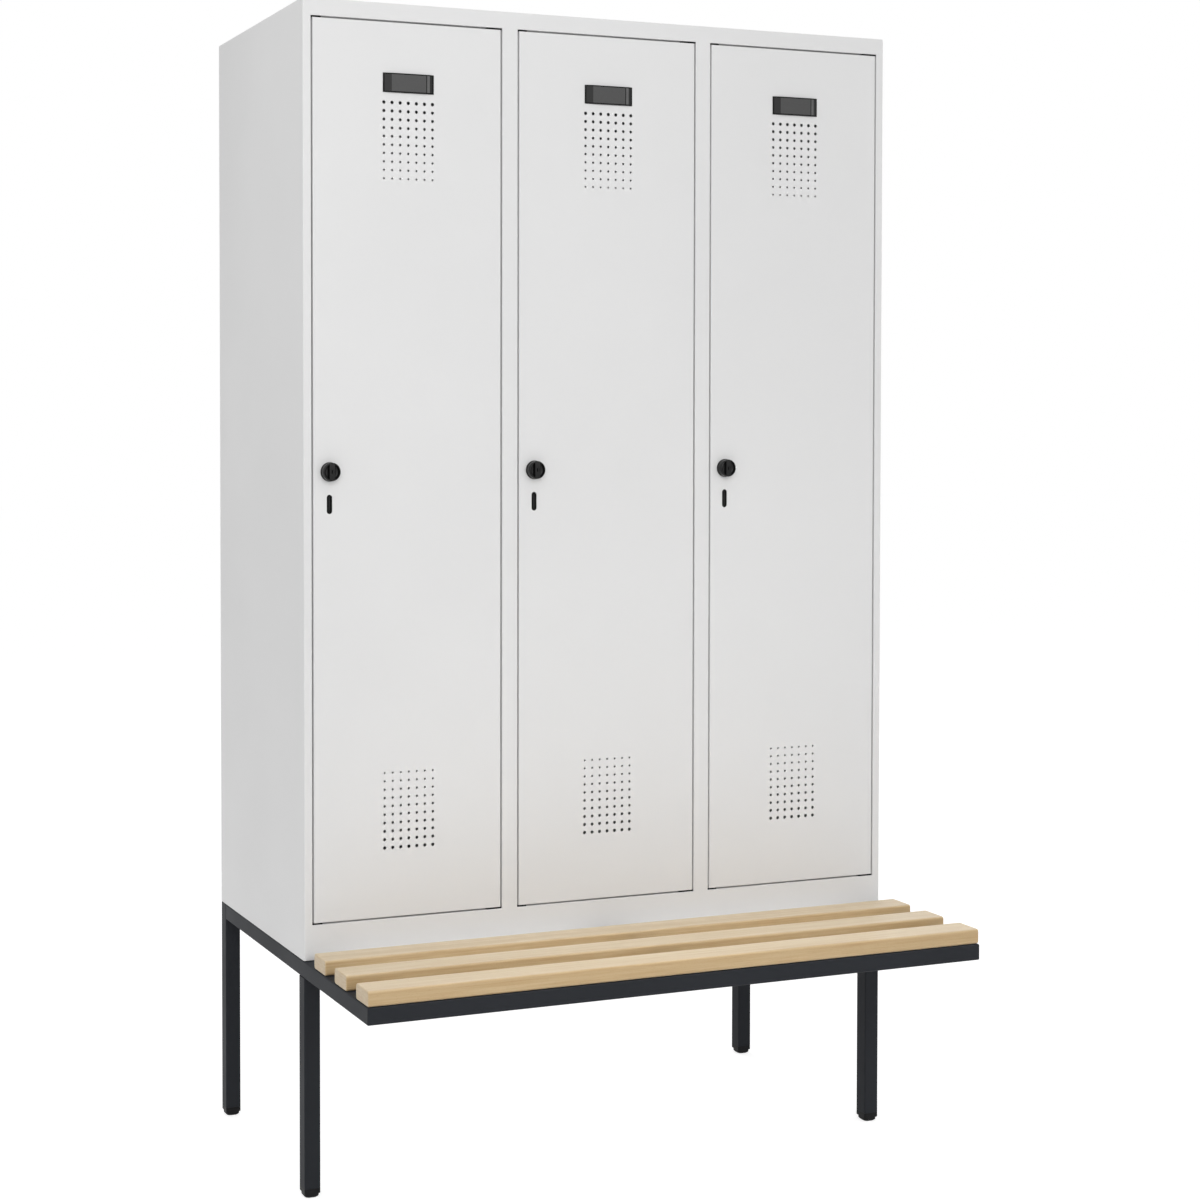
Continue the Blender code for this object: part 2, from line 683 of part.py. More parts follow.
def label_holder(index, finish, carrier):
    """Raised plate with sloping ends, held by two pegs through the door."""
    left, right = door_span(index)
    middle = (left + right) / 2
    high = BODY_TOP - LABEL_TOP
    half, face = LABEL_WIDTH / 2, LABEL_FACE / 2
    back = FRONT_Y - GAP
    proud, edge = FRONT_Y - LABEL_PROUD, FRONT_Y - LABEL_EDGE
    step = proud + LABEL_STEP
    outline = [(-half, back), (-half, edge), (-face, proud), (face, proud), (face, step),
               (face + LABEL_STRIP, step), (half, edge), (half, back)]
    bm = bmesh.new()
    add_prism(bm, [(middle + a, b) for a, b in outline], high - LABEL_HEIGHT, high, along_z)
    holder = add_solid(f"label_holder_{index + 1}", bm, finish, carrier)
    pegs = bmesh.new()
    for side in (-1, 1):
        centre = (middle + side * LABEL_PEG_SPACING / 2, high - LABEL_HEIGHT / 2)
        add_prism(pegs, polygon_outline(LABEL_PEG_RADIUS, PIN_SIDES, centre),
                  back - LABEL_EDGE / 2, FRONT_Y + LABEL_PEG_LENGTH, along_y)
    combine(holder, f"label_pegs_{index + 1}", pegs, "UNION", carrier)


def slot_outline(inset):
    """Upright slot with round ends, shrunk on every side by the inset."""
    width = SLOT_WIDTH - 2 * inset
    return rounded_outline(width, SLOT_LENGTH - 2 * inset, width / 2, ROUND_STEPS)


def lock_case(index, finish, carrier):
    """Lock body behind the door sheet, with a nose that fills the slot under the knob."""
    number = index + 1
    knob_x = door_span(index)[0] + KNOB_INSET
    near = FRONT_Y + SHEET + GAP
    far = near + CASE_DEPTH
    middle_z = KNOB_Z + (CASE_ABOVE - CASE_BELOW) / 2
    body = rounded_outline(CASE_WIDTH, CASE_ABOVE + CASE_BELOW, CASE_CORNER, 1)
    bm = bmesh.new()
    add_prism(bm, body, near, far, shifted(along_y, (knob_x, 0, middle_z)))
    case = add_solid(f"lock_case_{number}", bm, finish, carrier)

    slot = (knob_x, 0, KNOB_Z - SLOT_DROP)
    nose_front = FRONT_Y + SLOT_RECESS
    nose = bmesh.new()
    add_prism(nose, slot_outline(GAP), nose_front, near + SHEET, shifted(along_y, slot))
    combine(case, f"lock_nose_{number}", nose, "UNION", carrier)
    groove = bmesh.new()
    pocket = slot_outline(SLOT_WALL)
    bar = rounded_outline(SLOT_BAR_WIDTH, SLOT_BAR_LENGTH, SLOT_BAR_WIDTH / 2 - GAP, ROUND_STEPS)
    add_tube(groove, pocket, bar, lambda a, b: nose_front - SHEET, lambda a, b: nose_front + SLOT_DEPTH,
             shifted(along_y, slot))
    combine(case, f"lock_groove_{number}", groove, "DIFFERENCE", carrier)
    bore = bmesh.new()
    add_prism(bore, polygon_outline(SHAFT_RADIUS + SHAFT_CLEARANCE, SHAFT_SIDES, (knob_x, KNOB_Z)),
              near - SHEET, far + SHEET, along_y)
    combine(case, f"lock_bore_{number}", bore, "DIFFERENCE", carrier)


def turn_knob(index, finish, carrier):
    """Round knob with an upright grip bar between two scoops, a keyway and a square-ended shaft."""
    number = index + 1
    centre = world_place(carrier)
    front = FRONT_Y - KNOB_PROUD
    flange_back = FRONT_Y - GAP
    flange_front = flange_back - KNOB_FLANGE_THICKNESS
    shaft_end = FRONT_Y + SHEET + GAP + CASE_DEPTH + GAP
    cam_end = CAM_FRONT + CAM_THICKNESS + GAP
    lay = shifted(along_y, (centre.x, 0, centre.z))

    def ring(radius):
        return polygon_outline(radius, KNOB_SIDES)

    sections = [(ring(KNOB_FLANGE_RADIUS), flange_back), (ring(KNOB_FLANGE_RADIUS), flange_front),
                (ring(KNOB_RADIUS), flange_front), (ring(KNOB_RADIUS), front + KNOB_ROUNDING)]
    for step in range(1, ROUND_STEPS + 1):
        angle = step / ROUND_STEPS * pi / 2
        radius = KNOB_RADIUS - KNOB_ROUNDING * (1 - cos(angle))
        sections.append((ring(radius), front + KNOB_ROUNDING * (1 - sin(angle))))
    bm = bmesh.new()
    add_loft(bm, sections, lay)
    knob = add_solid(f"turn_knob_{number}", bm, finish, carrier)
    shade_round(knob)

    shaft = bmesh.new()
    square = square_outline(SHAFT_SQUARE)
    round_shaft = polygon_outline(SHAFT_RADIUS, SHAFT_SIDES)
    add_prism(shaft, round_shaft, flange_back - SHEET, shaft_end, lay)
    combine(knob, f"knob_shaft_{number}", shaft, "UNION", carrier)
    tail = bmesh.new()
    add_prism(tail, square, shaft_end - SHEET, cam_end, lay)
    combine(knob, f"knob_square_{number}", tail, "UNION", carrier)
    scoops = bmesh.new()
    scoop_radius = KNOB_RADIUS - KNOB_ROUNDING / 2
    chord = GRIP_WIDTH / 2
    for side in (-1, 1):
        reach = sqrt(scoop_radius ** 2 - chord ** 2)
        first = asin(chord / scoop_radius)
        arc = 4
        outline = [(side * chord, -reach), (side * chord, reach)]
        for step in range(1, arc):
            angle = (pi / 2 - first) * (1 - 2 * step / arc)
            outline.append((side * scoop_radius * cos(angle), scoop_radius * sin(angle)))
        add_prism(scoops, outline, front - SHEET, front + GRIP_SCOOP_DEPTH, lay)
    combine(knob, f"knob_scoops_{number}", scoops, "DIFFERENCE", carrier)
    keyway = bmesh.new()
    slot = [(a * KEYWAY_WIDTH / 2, b * KEYWAY_LENGTH / 2) for a, b in UNIT_SQUARE]
    add_prism(keyway, slot, front - SHEET, front + KEYWAY_DEPTH, lay)
    combine(knob, f"knob_keyway_{number}", keyway, "DIFFERENCE", carrier)


def latch_cam(index, finish, carrier):
    """Tongue on the knob's square end. It hangs down at rest and turns behind the stile."""
    number = index + 1
    centre = world_place(carrier)
    reach = KNOB_INSET + DOOR_GAP - CAM_TIP_CLEARANCE
    half = CAM_WIDTH / 2
    corner = half / 2
    outline = [(-half, CAM_HEEL - corner), (-half, corner - reach), (-corner, -reach), (corner, -reach),
               (half, corner - reach), (half, CAM_HEEL - corner), (corner, CAM_HEEL), (-corner, CAM_HEEL)]
    lay = shifted(along_y, (centre.x, 0, centre.z))
    bm = bmesh.new()
    add_prism(bm, outline, CAM_FRONT, CAM_FRONT + CAM_THICKNESS, lay)
    cam = add_solid(f"latch_cam_{number}", bm, finish, carrier)
    hole = bmesh.new()
    add_prism(hole, square_outline(SHAFT_SQUARE + 2 * GAP), CAM_FRONT - SHEET,
              CAM_FRONT + CAM_THICKNESS + SHEET, lay)
    combine(cam, f"cam_square_hole_{number}", hole, "DIFFERENCE", carrier)


def door_assembly(index, finishes):
    number = index + 1
    pivot = pivot_point(index)
    hinge = axis_empty(f"door_{number}_axis", (pivot.x, pivot.y, OPENING_LOW))
    door_panel(index, finishes["enamel"], hinge)
    door_stiffener(index, finishes["enamel"], hinge)
    label_holder(index, finishes["plastic"], hinge)
    lock_case(index, finishes["plastic"], hinge)
    knob_x = door_span(index)[0] + KNOB_INSET
    turn = axis_empty(f"turn_knob_{number}_axis", (knob_x, FRONT_Y, KNOB_Z), hinge)
    turn_knob(index, finishes["plastic"], turn)
    latch_cam(index, finishes["zinc"], turn)
    pivot_pin(f"pivot_pin_upper_{number}", index, OPENING_HIGH, True, finishes["plastic"])
    pivot_pin(f"pivot_pin_lower_{number}", index, OPENING_LOW, False, finishes["plastic"])


# Base frame and bench

def tube_section():
    outer = rounded_outline(TUBE, TUBE, TUBE_CORNER, 1)
    bore = TUBE - 2 * TUBE_WALL
    inner = rounded_outline(bore, bore, TUBE_CORNER / 2, 1)
    return outer, inner


def straight_tube(name, low, high, lay, finish):
    bm = bmesh.new()
    outer, inner = tube_section()
    add_tube(bm, outer, inner, lambda a, b: low, lambda a, b: high, lay)
    add_solid(name, bm, finish)


def base_frame(finish):
    """Welded frame: two side rails mitred to a front rail, cross rails, a bearer and four legs."""
    half = TUBE / 2
    rail_z = BASE_TOP - half
    side_x = HALF - half
    rear_y = BACK_Y - half
    leg_y = FRONT_Y + half
    outer, inner = tube_section()

    for name, side in (("side_rail_left", -1), ("side_rail_right", 1)):
        bm = bmesh.new()
        add_tube(bm, outer, inner, lambda a, b: BENCH_Y + half - side * b + GAP,
                 lambda a, b: rear_y - half - GAP,
                 lambda a, b, c: Vector((side_x * side + b, c, rail_z + a)))
        add_solid(name, bm, finish)
    bm = bmesh.new()
    add_tube(bm, outer, inner, lambda a, b: -side_x + b, lambda a, b: side_x - b,
             lambda a, b, c: Vector((c, BENCH_Y + half + b, rail_z + a)))
    add_solid("front_rail", bm, finish)

    between = side_x - half - GAP
    straight_tube("cross_rail", -between, between, shifted(along_x, (0, leg_y, rail_z)), finish)
    straight_tube("rear_rail", -between, between, shifted(along_x, (0, rear_y, rail_z)), finish)
    straight_tube("bench_bearer", BENCH_Y + TUBE + GAP, FRONT_Y - GAP,
                  shifted(along_y, (0, 0, rail_z)), finish)
    for side_name, side in (("left", -1), ("right", 1)):
        x = side * side_x
        for end_name, y, top in (("front", leg_y, BASE_TOP - TUBE - GAP), ("rear", rear_y, BASE_TOP)):
            lay = shifted(along_z, (x, y, 0))
            straight_tube(f"leg_{end_name}_{side_name}", FOOT_HEIGHT, top, lay, finish)


def feet(finish):
    """Plastic end plugs: a collar under the tube, a bevelled foot below it and a plug in the tube."""
    half = TUBE / 2
    top = FOOT_HEIGHT - GAP

    def section(side, corner, level):
        return rounded_outline(side, side, corner, 1), level

    plug = TUBE - 2 * TUBE_WALL - 2 * GAP
    neck = TUBE - 2 * FOOT_STEP
    sections = [section(FOOT_TIP, FOOT_CORNER, 0.0),
                section(neck, FOOT_CORNER, FOOT_BEVEL),
                section(neck, FOOT_CORNER, FOOT_SHOULDER),
                section(TUBE, TUBE_CORNER, FOOT_SHOULDER),
                section(TUBE, TUBE_CORNER, top),
                section(plug, TUBE_CORNER / 2, top),
                section(plug, TUBE_CORNER / 2, top + FOOT_PLUG)]
    places = (("foot_front_left", -1, FRONT_Y + half), ("foot_front_right", 1, FRONT_Y + half),
              ("foot_rear_left", -1, BACK_Y - half), ("foot_rear_right", 1, BACK_Y - half))
    for name, side, y in places:
        bm = bmesh.new()
        add_loft(bm, sections, shifted(along_z, (side * (HALF - half), y, 0)))
        add_solid(name, bm, finish)


def bench_slats(finish):
    """Beech slats along the bench, the front one flush with the front rail."""
    space = (BENCH_REACH - SLAT_BACK_SPACE - SLATS * SLAT_WIDTH) / (SLATS - 1)
    section = rounded_outline(SLAT_WIDTH, SLAT_THICKNESS, SLAT_ROUNDING, ROUND_STEPS)
    length = HALF - SLAT_END_SETBACK
    for index in range(SLATS):
        y = BENCH_Y + SLAT_WIDTH / 2 + index * (SLAT_WIDTH + space)
        bm = bmesh.new()
        add_prism(bm, section, -length, length, shifted(along_x, (0, y, BASE_HEIGHT + SLAT_THICKNESS / 2)))
        add_solid(f"bench_slat_{index + 1}", bm, finish)


def main():
    for leftover in list(bpy.data.objects):
        bpy.data.objects.remove(leftover)
    finishes = {
        "enamel": material("light_grey_enamel", (0.74, 0.74, 0.73), 0.45),
        "anthracite": material("anthracite_enamel", (0.028, 0.031, 0.035), 0.5),
        "beech": material("lacquered_beech", (0.68, 0.52, 0.32), 0.5),
        "plastic": material("black_plastic", (0.03, 0.03, 0.032), 0.45),
        "zinc": material("zinc_plated_steel", (0.62, 0.62, 0.60), 0.35, 1.0),
    }
    front_frame(finishes["enamel"])
    side_panels(finishes["enamel"])
    back_panel(finishes["enamel"])
    top_panel(finishes["enamel"])
    floor_panel(finishes["enamel"])
    partitions(finishes["enamel"])
    for index in range(COMPARTMENTS):
        hat_shelf(index, finishes["enamel"])
        clothes_rail(index, finishes["zinc"])
        coat_hook(index, finishes["plastic"])
        door_assembly(index, finishes)
    base_frame(finishes["anthracite"])
    feet(finishes["plastic"])
    bench_slats(finishes["beech"])


main()
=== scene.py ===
"""Looks of a three-door steel locker with a slatted bench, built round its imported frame.

Metres, +Z up, the doors and the bench face -Y. Sizes and places come from the frame's boxes
and from the named values below. Every node is replaced by a finer piece. The walls, shelves,
stiffeners and cams are the frame's own sheets with rounded folds. The rest is built anew: front
frame, doors with round vents, label holders, knobs, lock cases, pins, rails, hooks, tubes, feet
and slats. The buffers, cards and strips are visible pieces that no node stands for.
"""

import json
from math import acos, cos, pi, radians, sin

import bmesh
import bpy
from mathutils import Matrix, Vector
from mathutils.geometry import delaunay_2d_cdt


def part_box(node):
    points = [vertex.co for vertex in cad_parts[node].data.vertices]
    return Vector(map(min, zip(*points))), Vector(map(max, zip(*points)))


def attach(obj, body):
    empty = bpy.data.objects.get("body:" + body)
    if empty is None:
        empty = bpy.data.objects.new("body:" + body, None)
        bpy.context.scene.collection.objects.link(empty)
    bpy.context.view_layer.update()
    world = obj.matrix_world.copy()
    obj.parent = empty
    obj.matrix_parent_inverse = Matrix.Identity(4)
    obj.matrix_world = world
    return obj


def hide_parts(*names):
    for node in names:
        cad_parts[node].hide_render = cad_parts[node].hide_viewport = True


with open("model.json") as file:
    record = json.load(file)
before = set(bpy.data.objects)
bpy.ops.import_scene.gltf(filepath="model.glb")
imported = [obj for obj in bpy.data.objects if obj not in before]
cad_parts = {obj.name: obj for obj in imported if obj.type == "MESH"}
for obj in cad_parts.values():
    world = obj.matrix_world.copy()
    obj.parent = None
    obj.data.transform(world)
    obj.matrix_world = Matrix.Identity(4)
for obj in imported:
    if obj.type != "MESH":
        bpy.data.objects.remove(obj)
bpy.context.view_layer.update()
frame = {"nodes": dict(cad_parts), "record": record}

# Sheet metal
SHEET = 0.001
GAP = 0.0003
DOOR_GAP = 0.003
DOOR_BEND = 0.0016
DOOR_LIP = 0.012
EDGE_SOFTNESS = 0.0003
FOLD_RADIUS = 0.0013
FRAME_BEND = 0.0014
BODY_BEND = 0.0025
OUTER_RETURN = 0.004
FRAME_FOOT_GAP = 0.0015

# Front frame behind its face
STOP_LIP = 0.010
STOP_DEPTH = 0.0195
HINGE_DEPTH = 0.025
LATCH_NOTCH = 0.020
HINGE_NOTCH = 0.0351
NOTCH_START = 0.003

# Vents, two fields on each door, measured from the top and the bottom of the body
VENT_COLUMNS = 7
VENT_ROWS = 10
VENT_COLUMN_PITCH = 0.01562
VENT_ROW_PITCH = 0.015
VENT_UPPER_TOP = 0.1752
VENT_LOWER_BOTTOM = 0.1917
VENT_LARGE = 0.0062
VENT_SMALL = 0.0037
VENT_TAPER = 0.8
VENT_SIDES = 20

# Label holder
LABEL_FACE = 0.0665
LABEL_EDGE = 0.0011
LABEL_RIM = 0.0021
LABEL_RIM_LEFT = 0.0027
LABEL_RIM_RIGHT = 0.0036
LABEL_GROOVE = 0.0018
LABEL_GROOVE_DEPTH = 0.0008
LABEL_STRIP = 0.0052
LABEL_STRIP_DROP = 0.0004
LABEL_INLAY = 0.0002

# Turn knob and lock
KNOB_FLANGE_RADIUS = 0.0172
KNOB_FLANGE_THICKNESS = 0.003
KNOB_RADIUS = 0.0164
KNOB_ROUNDING = 0.0030
KNOB_SOFTNESS = 0.0006
KNOB_SIDES = 96
SCOOP_DEPTH = 0.0058
SCOOP_WALL = 0.0021
SCOOP_REACH = 0.0038
SCOOP_STEPS = 24
GRIP_WIDTH = 0.0100
CORE_RADIUS = 0.0042
CORE_RECESS = 0.0008
KEYWAY_WIDTH = 0.0018
KEYWAY_LENGTH = 0.0066
KEYWAY_DEPTH = 0.006
KEYWAY_STEPS = 2
SHAFT_RADIUS = 0.005
SHAFT_SIDES = 24
SLOT_DROP = 0.0577
SLOT_WIDTH = 0.0104
SLOT_LENGTH = 0.0344
SLOT_WALL = 0.0020
SLOT_DEPTH = 0.0045
SLOT_RECESS = 0.0004
SLOT_BAR_WIDTH = 0.0034
SLOT_BAR_LENGTH = 0.0275
SLOT_STEPS = 8
CASE_CORNER = 0.003

# Pivot pins, buffers, clothes rails and hooks
PIVOT_INSET = 0.012
PIVOT_SETBACK = 0.008
PIN_RADIUS = 0.0035
BEARING_CORNER = 0.0012
BEARING_STEPS = 7
RIM_SOFTNESS = 0.0004
BUFFER_DEPTH = 0.013
BUFFER_SETBACK = 0.0015
BUFFER_STEPS = 5
RAIL_WIDTH = 0.015
RAIL_HEIGHT = 0.030
RAIL_WALL = 0.0015
RAIL_CUP = 0.004
RAIL_CUP_THICKNESS = 0.005
RAIL_CUP_SOFTNESS = 0.0008
OVAL_STEPS = 8
HOOK_CLEARANCE = 0.0004
HOOK_WALL = 0.003
HOOK_STEM = 0.022
HOOK_ROD = 0.005
HOOK_BEND = 0.0155
HOOK_FILLET = 0.0035
HOOK_SOFTNESS = 0.0012
HOOK_STEPS = 28
HOOK_TIP_STEPS = 6

# Base and bench
TUBE = 0.030
TUBE_WALL = 0.002
TUBE_CORNER = 0.0028
FOOT_HEIGHT = 0.017
FOOT_TIP = 0.0225
FOOT_CORNER = 0.0065
FOOT_BEVEL = 0.003
FOOT_SHOULDER = 0.008
FOOT_STEP = 0.0014
FOOT_SOFTNESS = 0.0005
SLAT_ROUNDING = 0.0045
SLAT_END_ROUNDING = 0.0026

# Fineness of the meshes, and tolerances
ARC_STEPS = 5
ROUNDING_STEPS = 8
EDGE_SEGMENTS = 2
FOLD_SEGMENTS = 3
FRAME_SEGMENTS = 4
SMOOTH_ANGLE = radians(32)
FLAT_ANGLE = radians(1)
SAME_POINT = GAP / 100
SAME_CORNER = GAP / 20
CUT_EDGE_RATIO = 1.5

# Camera, solved from the photograph's straight edges for a frame of 1200 by 1200 pixels
CAMERA_PLACE = (-1.8048, -3.5251, 1.3741)
CAMERA_YAW = 0.34961
CAMERA_PITCH = -0.02615
CAMERA_ROLL = -0.00179
CAMERA_FOCAL_PIXELS = 2064.89
PHOTO_PIXELS = 1200
SENSOR_MM = 36.0
CAMERA_SHIFT = (0.2268, -0.10)

# Tones, as linear red, green and blue
GREY_LIGHT = (0.775, 0.775, 0.775)
GREY_DARK = (0.750, 0.750, 0.750)
ANTHRACITE_LIGHT = (0.0262, 0.0282, 0.0330)
ANTHRACITE_DARK = (0.0225, 0.0245, 0.0283)
BLACK = (0.006, 0.006, 0.006)
FOOT_BLACK = (0.010, 0.010, 0.011)
HOLDER_BLACK = (0.013, 0.013, 0.013)
STRIP_GREY = (0.110, 0.110, 0.110)
PLASTIC_SHADE = 0.85
CARD_LIGHT = (0.058, 0.058, 0.058)
CARD_DARK = (0.046, 0.046, 0.046)
ZINC_LIGHT = (0.66, 0.66, 0.66)
ZINC_DARK = (0.48, 0.49, 0.51)
BEECH_LIGHT = (0.665, 0.560, 0.405)
BEECH_DARK = (0.585, 0.470, 0.312)
BEECH_GRAIN = (0.500, 0.350, 0.185)
BEECH_FLECK = (0.370, 0.232, 0.110)
# Painted shade: the beech on faces turned to ±Y is multiplied by this tone, darker and warmer than
# the lit tops
BEECH_PAINTED_SHADE = (0.84, 0.74, 0.58)

# Usual range of a noise
NOISE_LOW = 0.3
NOISE_HIGH = 0.7

# Studio: lamps as name, place, target, size in metres, watts and spread
LAMPS = (
    ("front", (-1.2, -3.3, 2.7), (0.0, 0.0, 2.1), (3.2, 2.2), 54.0, pi),
    ("front_right", (1.2, -3.6, 2.2), (0.0, 0.0, 1.7), (2.0, 2.0), 10.0, pi),
    ("left", (-3.6, 0.3, 2.1), (0.0, 0.1, 1.6), (2.0, 2.0), 12.5, pi),
    ("right", (3.6, 0.3, 2.1), (0.0, 0.1, 1.6), (2.0, 2.0), 12.5, pi),
    ("back", (0.0, 3.4, 4.6), (0.0, 0.3, 1.2), (2.6, 2.2), 68.0, pi),
    ("bench", (0.0, -0.85, 3.0), (0.0, -0.85, 0.4), (1.6, 0.4), 4.4, radians(50)),
)
WHITE = (1.0, 1.0, 1.0, 1.0)
WORLD_LIGHT = 0.51
BACKDROP_LIGHT = 1.0
FLOOR_REACH = 30.0
FLOOR_TONE = 0.80
FLOOR_SEEN_TONE = 0.45
FLOOR_GLOW = 0.77

# Pieces that repeat
DOORS = (1, 2, 3)
SLATS = (1, 2, 3)
CORNERS = ("front_left", "front_right", "rear_left", "rear_right")


# Outlines

def spread_angles(start, turn, steps):
    """Evenly spaced angles from the start to the end of a turn, both included."""
    return [start + step / steps * turn for step in range(steps + 1)]


def quarter_turn(steps):
    return spread_angles(0.0, pi / 2, steps)


def arc_points(centre, radius, angles):
    return [(centre[0] + radius * cos(angle), centre[1] + radius * sin(angle)) for angle in angles]


def rounded_outline(width, height, radius, steps=ARC_STEPS, centre=(0.0, 0.0)):
    """Rectangle with each corner an arc, as points that go round its centre."""
    points = []
    for quarter in range(4):
        across = 1 if quarter in (0, 3) else -1
        up = 1 if quarter in (0, 1) else -1
        corner = (centre[0] + across * (width / 2 - radius), centre[1] + up * (height / 2 - radius))
        angles = [(quarter + step / steps) * pi / 2 for step in range(steps + 1)]
        points += arc_points(corner, radius, angles)
    return points


def circle_outline(radius, sides, centre=(0.0, 0.0)):
    return arc_points(centre, radius, [(side + 0.5) / sides * 2 * pi for side in range(sides)])


def rectangle_outline(x0, x1, z0, z1, inset):
    left, right, low, high = x0 + inset, x1 - inset, z0 + inset, z1 - inset
    return [(left, low), (right, low), (right, high), (left, high)]


# Ways to lay a local point (a, b, c) out in the room

def along_x(a, b, c):
    return Vector((c, a, b))


def along_y(a, b, c):
    return Vector((a, c, b))


def along_z(a, b, c):
    return Vector((a, b, c))


def shifted(lay, offset):
    """The same way to lay points out, from another origin."""
    return lambda a, b, c: lay(a, b, c) + Vector(offset)


# Mesh builders

def bridge(bm, ring, following):
    """Band of faces between two rings of points."""
    count = len(ring)
    for index in range(count):
        near = (index + 1) % count
        bm.faces.new((ring[index], ring[near], following[near], following[index]))


def add_rings(bm, sections, lay, closed=False, capped=True):
    """Skin through outlines of equal point count, each given as (outline, station)."""
    rings = [[bm.verts.new(lay(a, b, c)) for a, b in outline] for outline, c in sections]
    for ring, following in zip(rings, rings[1:]):
        bridge(bm, ring, following)
    if closed:
        bridge(bm, rings[-1], rings[0])
    elif capped:
        bm.faces.new(rings[0])
        bm.faces.new(rings[-1])


def add_tube(bm, outer, inner, low, high, lay):
    """Hollow bar: low and high give the station of each end for a point of the section."""
    rings = []
    for outline, station in ((outer, low), (outer, high), (inner, high), (inner, low)):
        rings.append([bm.verts.new(lay(a, b, station(a, b))) for a, b in outline])
    for ring, following in zip(rings, rings[1:] + rings[:1]):
        bridge(bm, ring, following)


def add_pierced_plate(bm, outline, holes, front, back, lay):
    """Both faces of a flat plate with holes, and the wall of each hole."""
    points, loops = [], []
    for loop in [outline, *holes]:
        loops.append(list(range(len(points), len(points) + len(loop))))
        points += [Vector(point) for point in loop]
    triangles_without_holes = 2
    placed, _, faces, *_ = delaunay_2d_cdt(points, [], loops, triangles_without_holes, SAME_POINT)
    for station in (front, back):
        corners = [bm.verts.new(lay(a, b, station)) for a, b in placed]
        for face in faces:
            bm.faces.new([corners[index] for index in face])
    for loop in holes:
        add_rings(bm, [(loop, front), (loop, back)], lay, capped=False)


def closed_mesh(bm):
    """Joins points that lie together and turns every face outwards."""
    bmesh.ops.remove_doubles(bm, verts=bm.verts, dist=SAME_POINT)
    bmesh.ops.recalc_face_normals(bm, faces=bm.faces)


# Pieces

def linked_object(name, bm):
    """New object in the scene that takes over the builder's mesh."""
    mesh = bpy.data.meshes.new(name)
    bm.to_mesh(mesh)
    bm.free()
    item = bpy.data.objects.new(name, mesh)
    bpy.context.scene.collection.objects.link(item)
    return item


def finished_object(name, bm, finish):
    """New object with smooth faces between its sharp edges, in one finish."""
    item = linked_object(name, bm)
    item.data.shade_smooth()
    item.data.set_sharp_from_angle(angle=SMOOTH_ANGLE)
    item.data.materials.append(finish)
    return item


def add_piece(name, bm, body, slot, replaces=(), finish=None, weighted=True):
    """New piece from a mesh in the frame's coordinates, riding on a body."""
    closed_mesh(bm)
    piece = finished_object(name, bm, finish or finishes[slot])
    if weighted:
        add_weighted_normals(piece)
    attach(piece, body)
    if replaces:
        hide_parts(*replaces)
    return piece


def add_weighted_normals(piece):
    """Flat faces keep flat shading beside small round edges."""
    normals = piece.modifiers.new("weighted_normals", "WEIGHTED_NORMAL")
    normals.keep_sharp = True


def soften(piece, width, segments=EDGE_SEGMENTS):
    """Small round on each edge that turns more than the smooth angle."""
    bevel = piece.modifiers.new("soft_edges", "BEVEL")
    bevel.width = width
    bevel.segments = segments
    bevel.limit_method = "ANGLE"
    bevel.angle_limit = SMOOTH_ANGLE
    bevel.harden_normals = True
    return bevel


def is_cut_edge(face):
    """Whether a face is a sheet's cut edge, hardly wider than the sheet is thick."""
    is_narrow = face.calc_perimeter() * SHEET > CUT_EDGE_RATIO * face.calc_area()
    return is_narrow and min(side.calc_length() for side in face.edges) < 2 * SHEET


def mark_folds(mesh):
    """Weights for a bevel: full on the outside of a sheet's folds, small on its cut edges."""
    bm = bmesh.new()
    bm.from_mesh(mesh)
    weights = bm.edges.layers.float.new("bevel_weight_edge")
    for edge in bm.edges:
        if len(edge.link_faces) != 2 or edge.calc_face_angle() < SMOOTH_ANGLE:
            continue
        is_fold = edge.is_convex and not any(is_cut_edge(face) for face in edge.link_faces)
        edge[weights] = 1.0 if is_fold else EDGE_SOFTNESS / FOLD_RADIUS
    bm.to_mesh(mesh)
    bm.free()


def softened_copy(node, adjust=None):
    """The node's own sheet as a new piece, with its plain faces joined and its folds rounded."""
    source = frame["nodes"][node]
    bm = bmesh.new()
    bm.from_mesh(source.data)
    bmesh.ops.remove_doubles(bm, verts=bm.verts, dist=SAME_CORNER)
    if adjust is not None:
        for vertex in bm.verts:
            vertex.co = adjust(vertex.co)
    bmesh.ops.dissolve_limit(bm, angle_limit=FLAT_ANGLE, verts=bm.verts, edges=bm.edges)
    piece = add_piece(f"{node}_soft", bm, body_of_node[node], slot_of_node[node], (node,),
                      weighted=False)
    piece.data.attributes.remove(piece.data.attributes["sharp_edge"])
    mark_folds(piece.data)
    bevel = soften(piece, FOLD_RADIUS, FOLD_SEGMENTS)
    bevel.limit_method = "WEIGHT"
    bevel.use_clamp_overlap = False


def carve(piece, sections, lay):
    """Cuts the solid through the sections out of a piece for good."""
    bm = bmesh.new()
    add_rings(bm, sections, lay)
    closed_mesh(bm)
    cutter = linked_object("cutter", bm)
    cut = piece.modifiers.new("cut", "BOOLEAN")
    cut.operation = "DIFFERENCE"
    cut.object = cutter
    graph = bpy.context.evaluated_depsgraph_get()
    result = bpy.data.meshes.new_from_object(piece.evaluated_get(graph))
    piece.modifiers.remove(cut)
    piece.data = result
    bpy.data.objects.remove(cutter)


# Materials

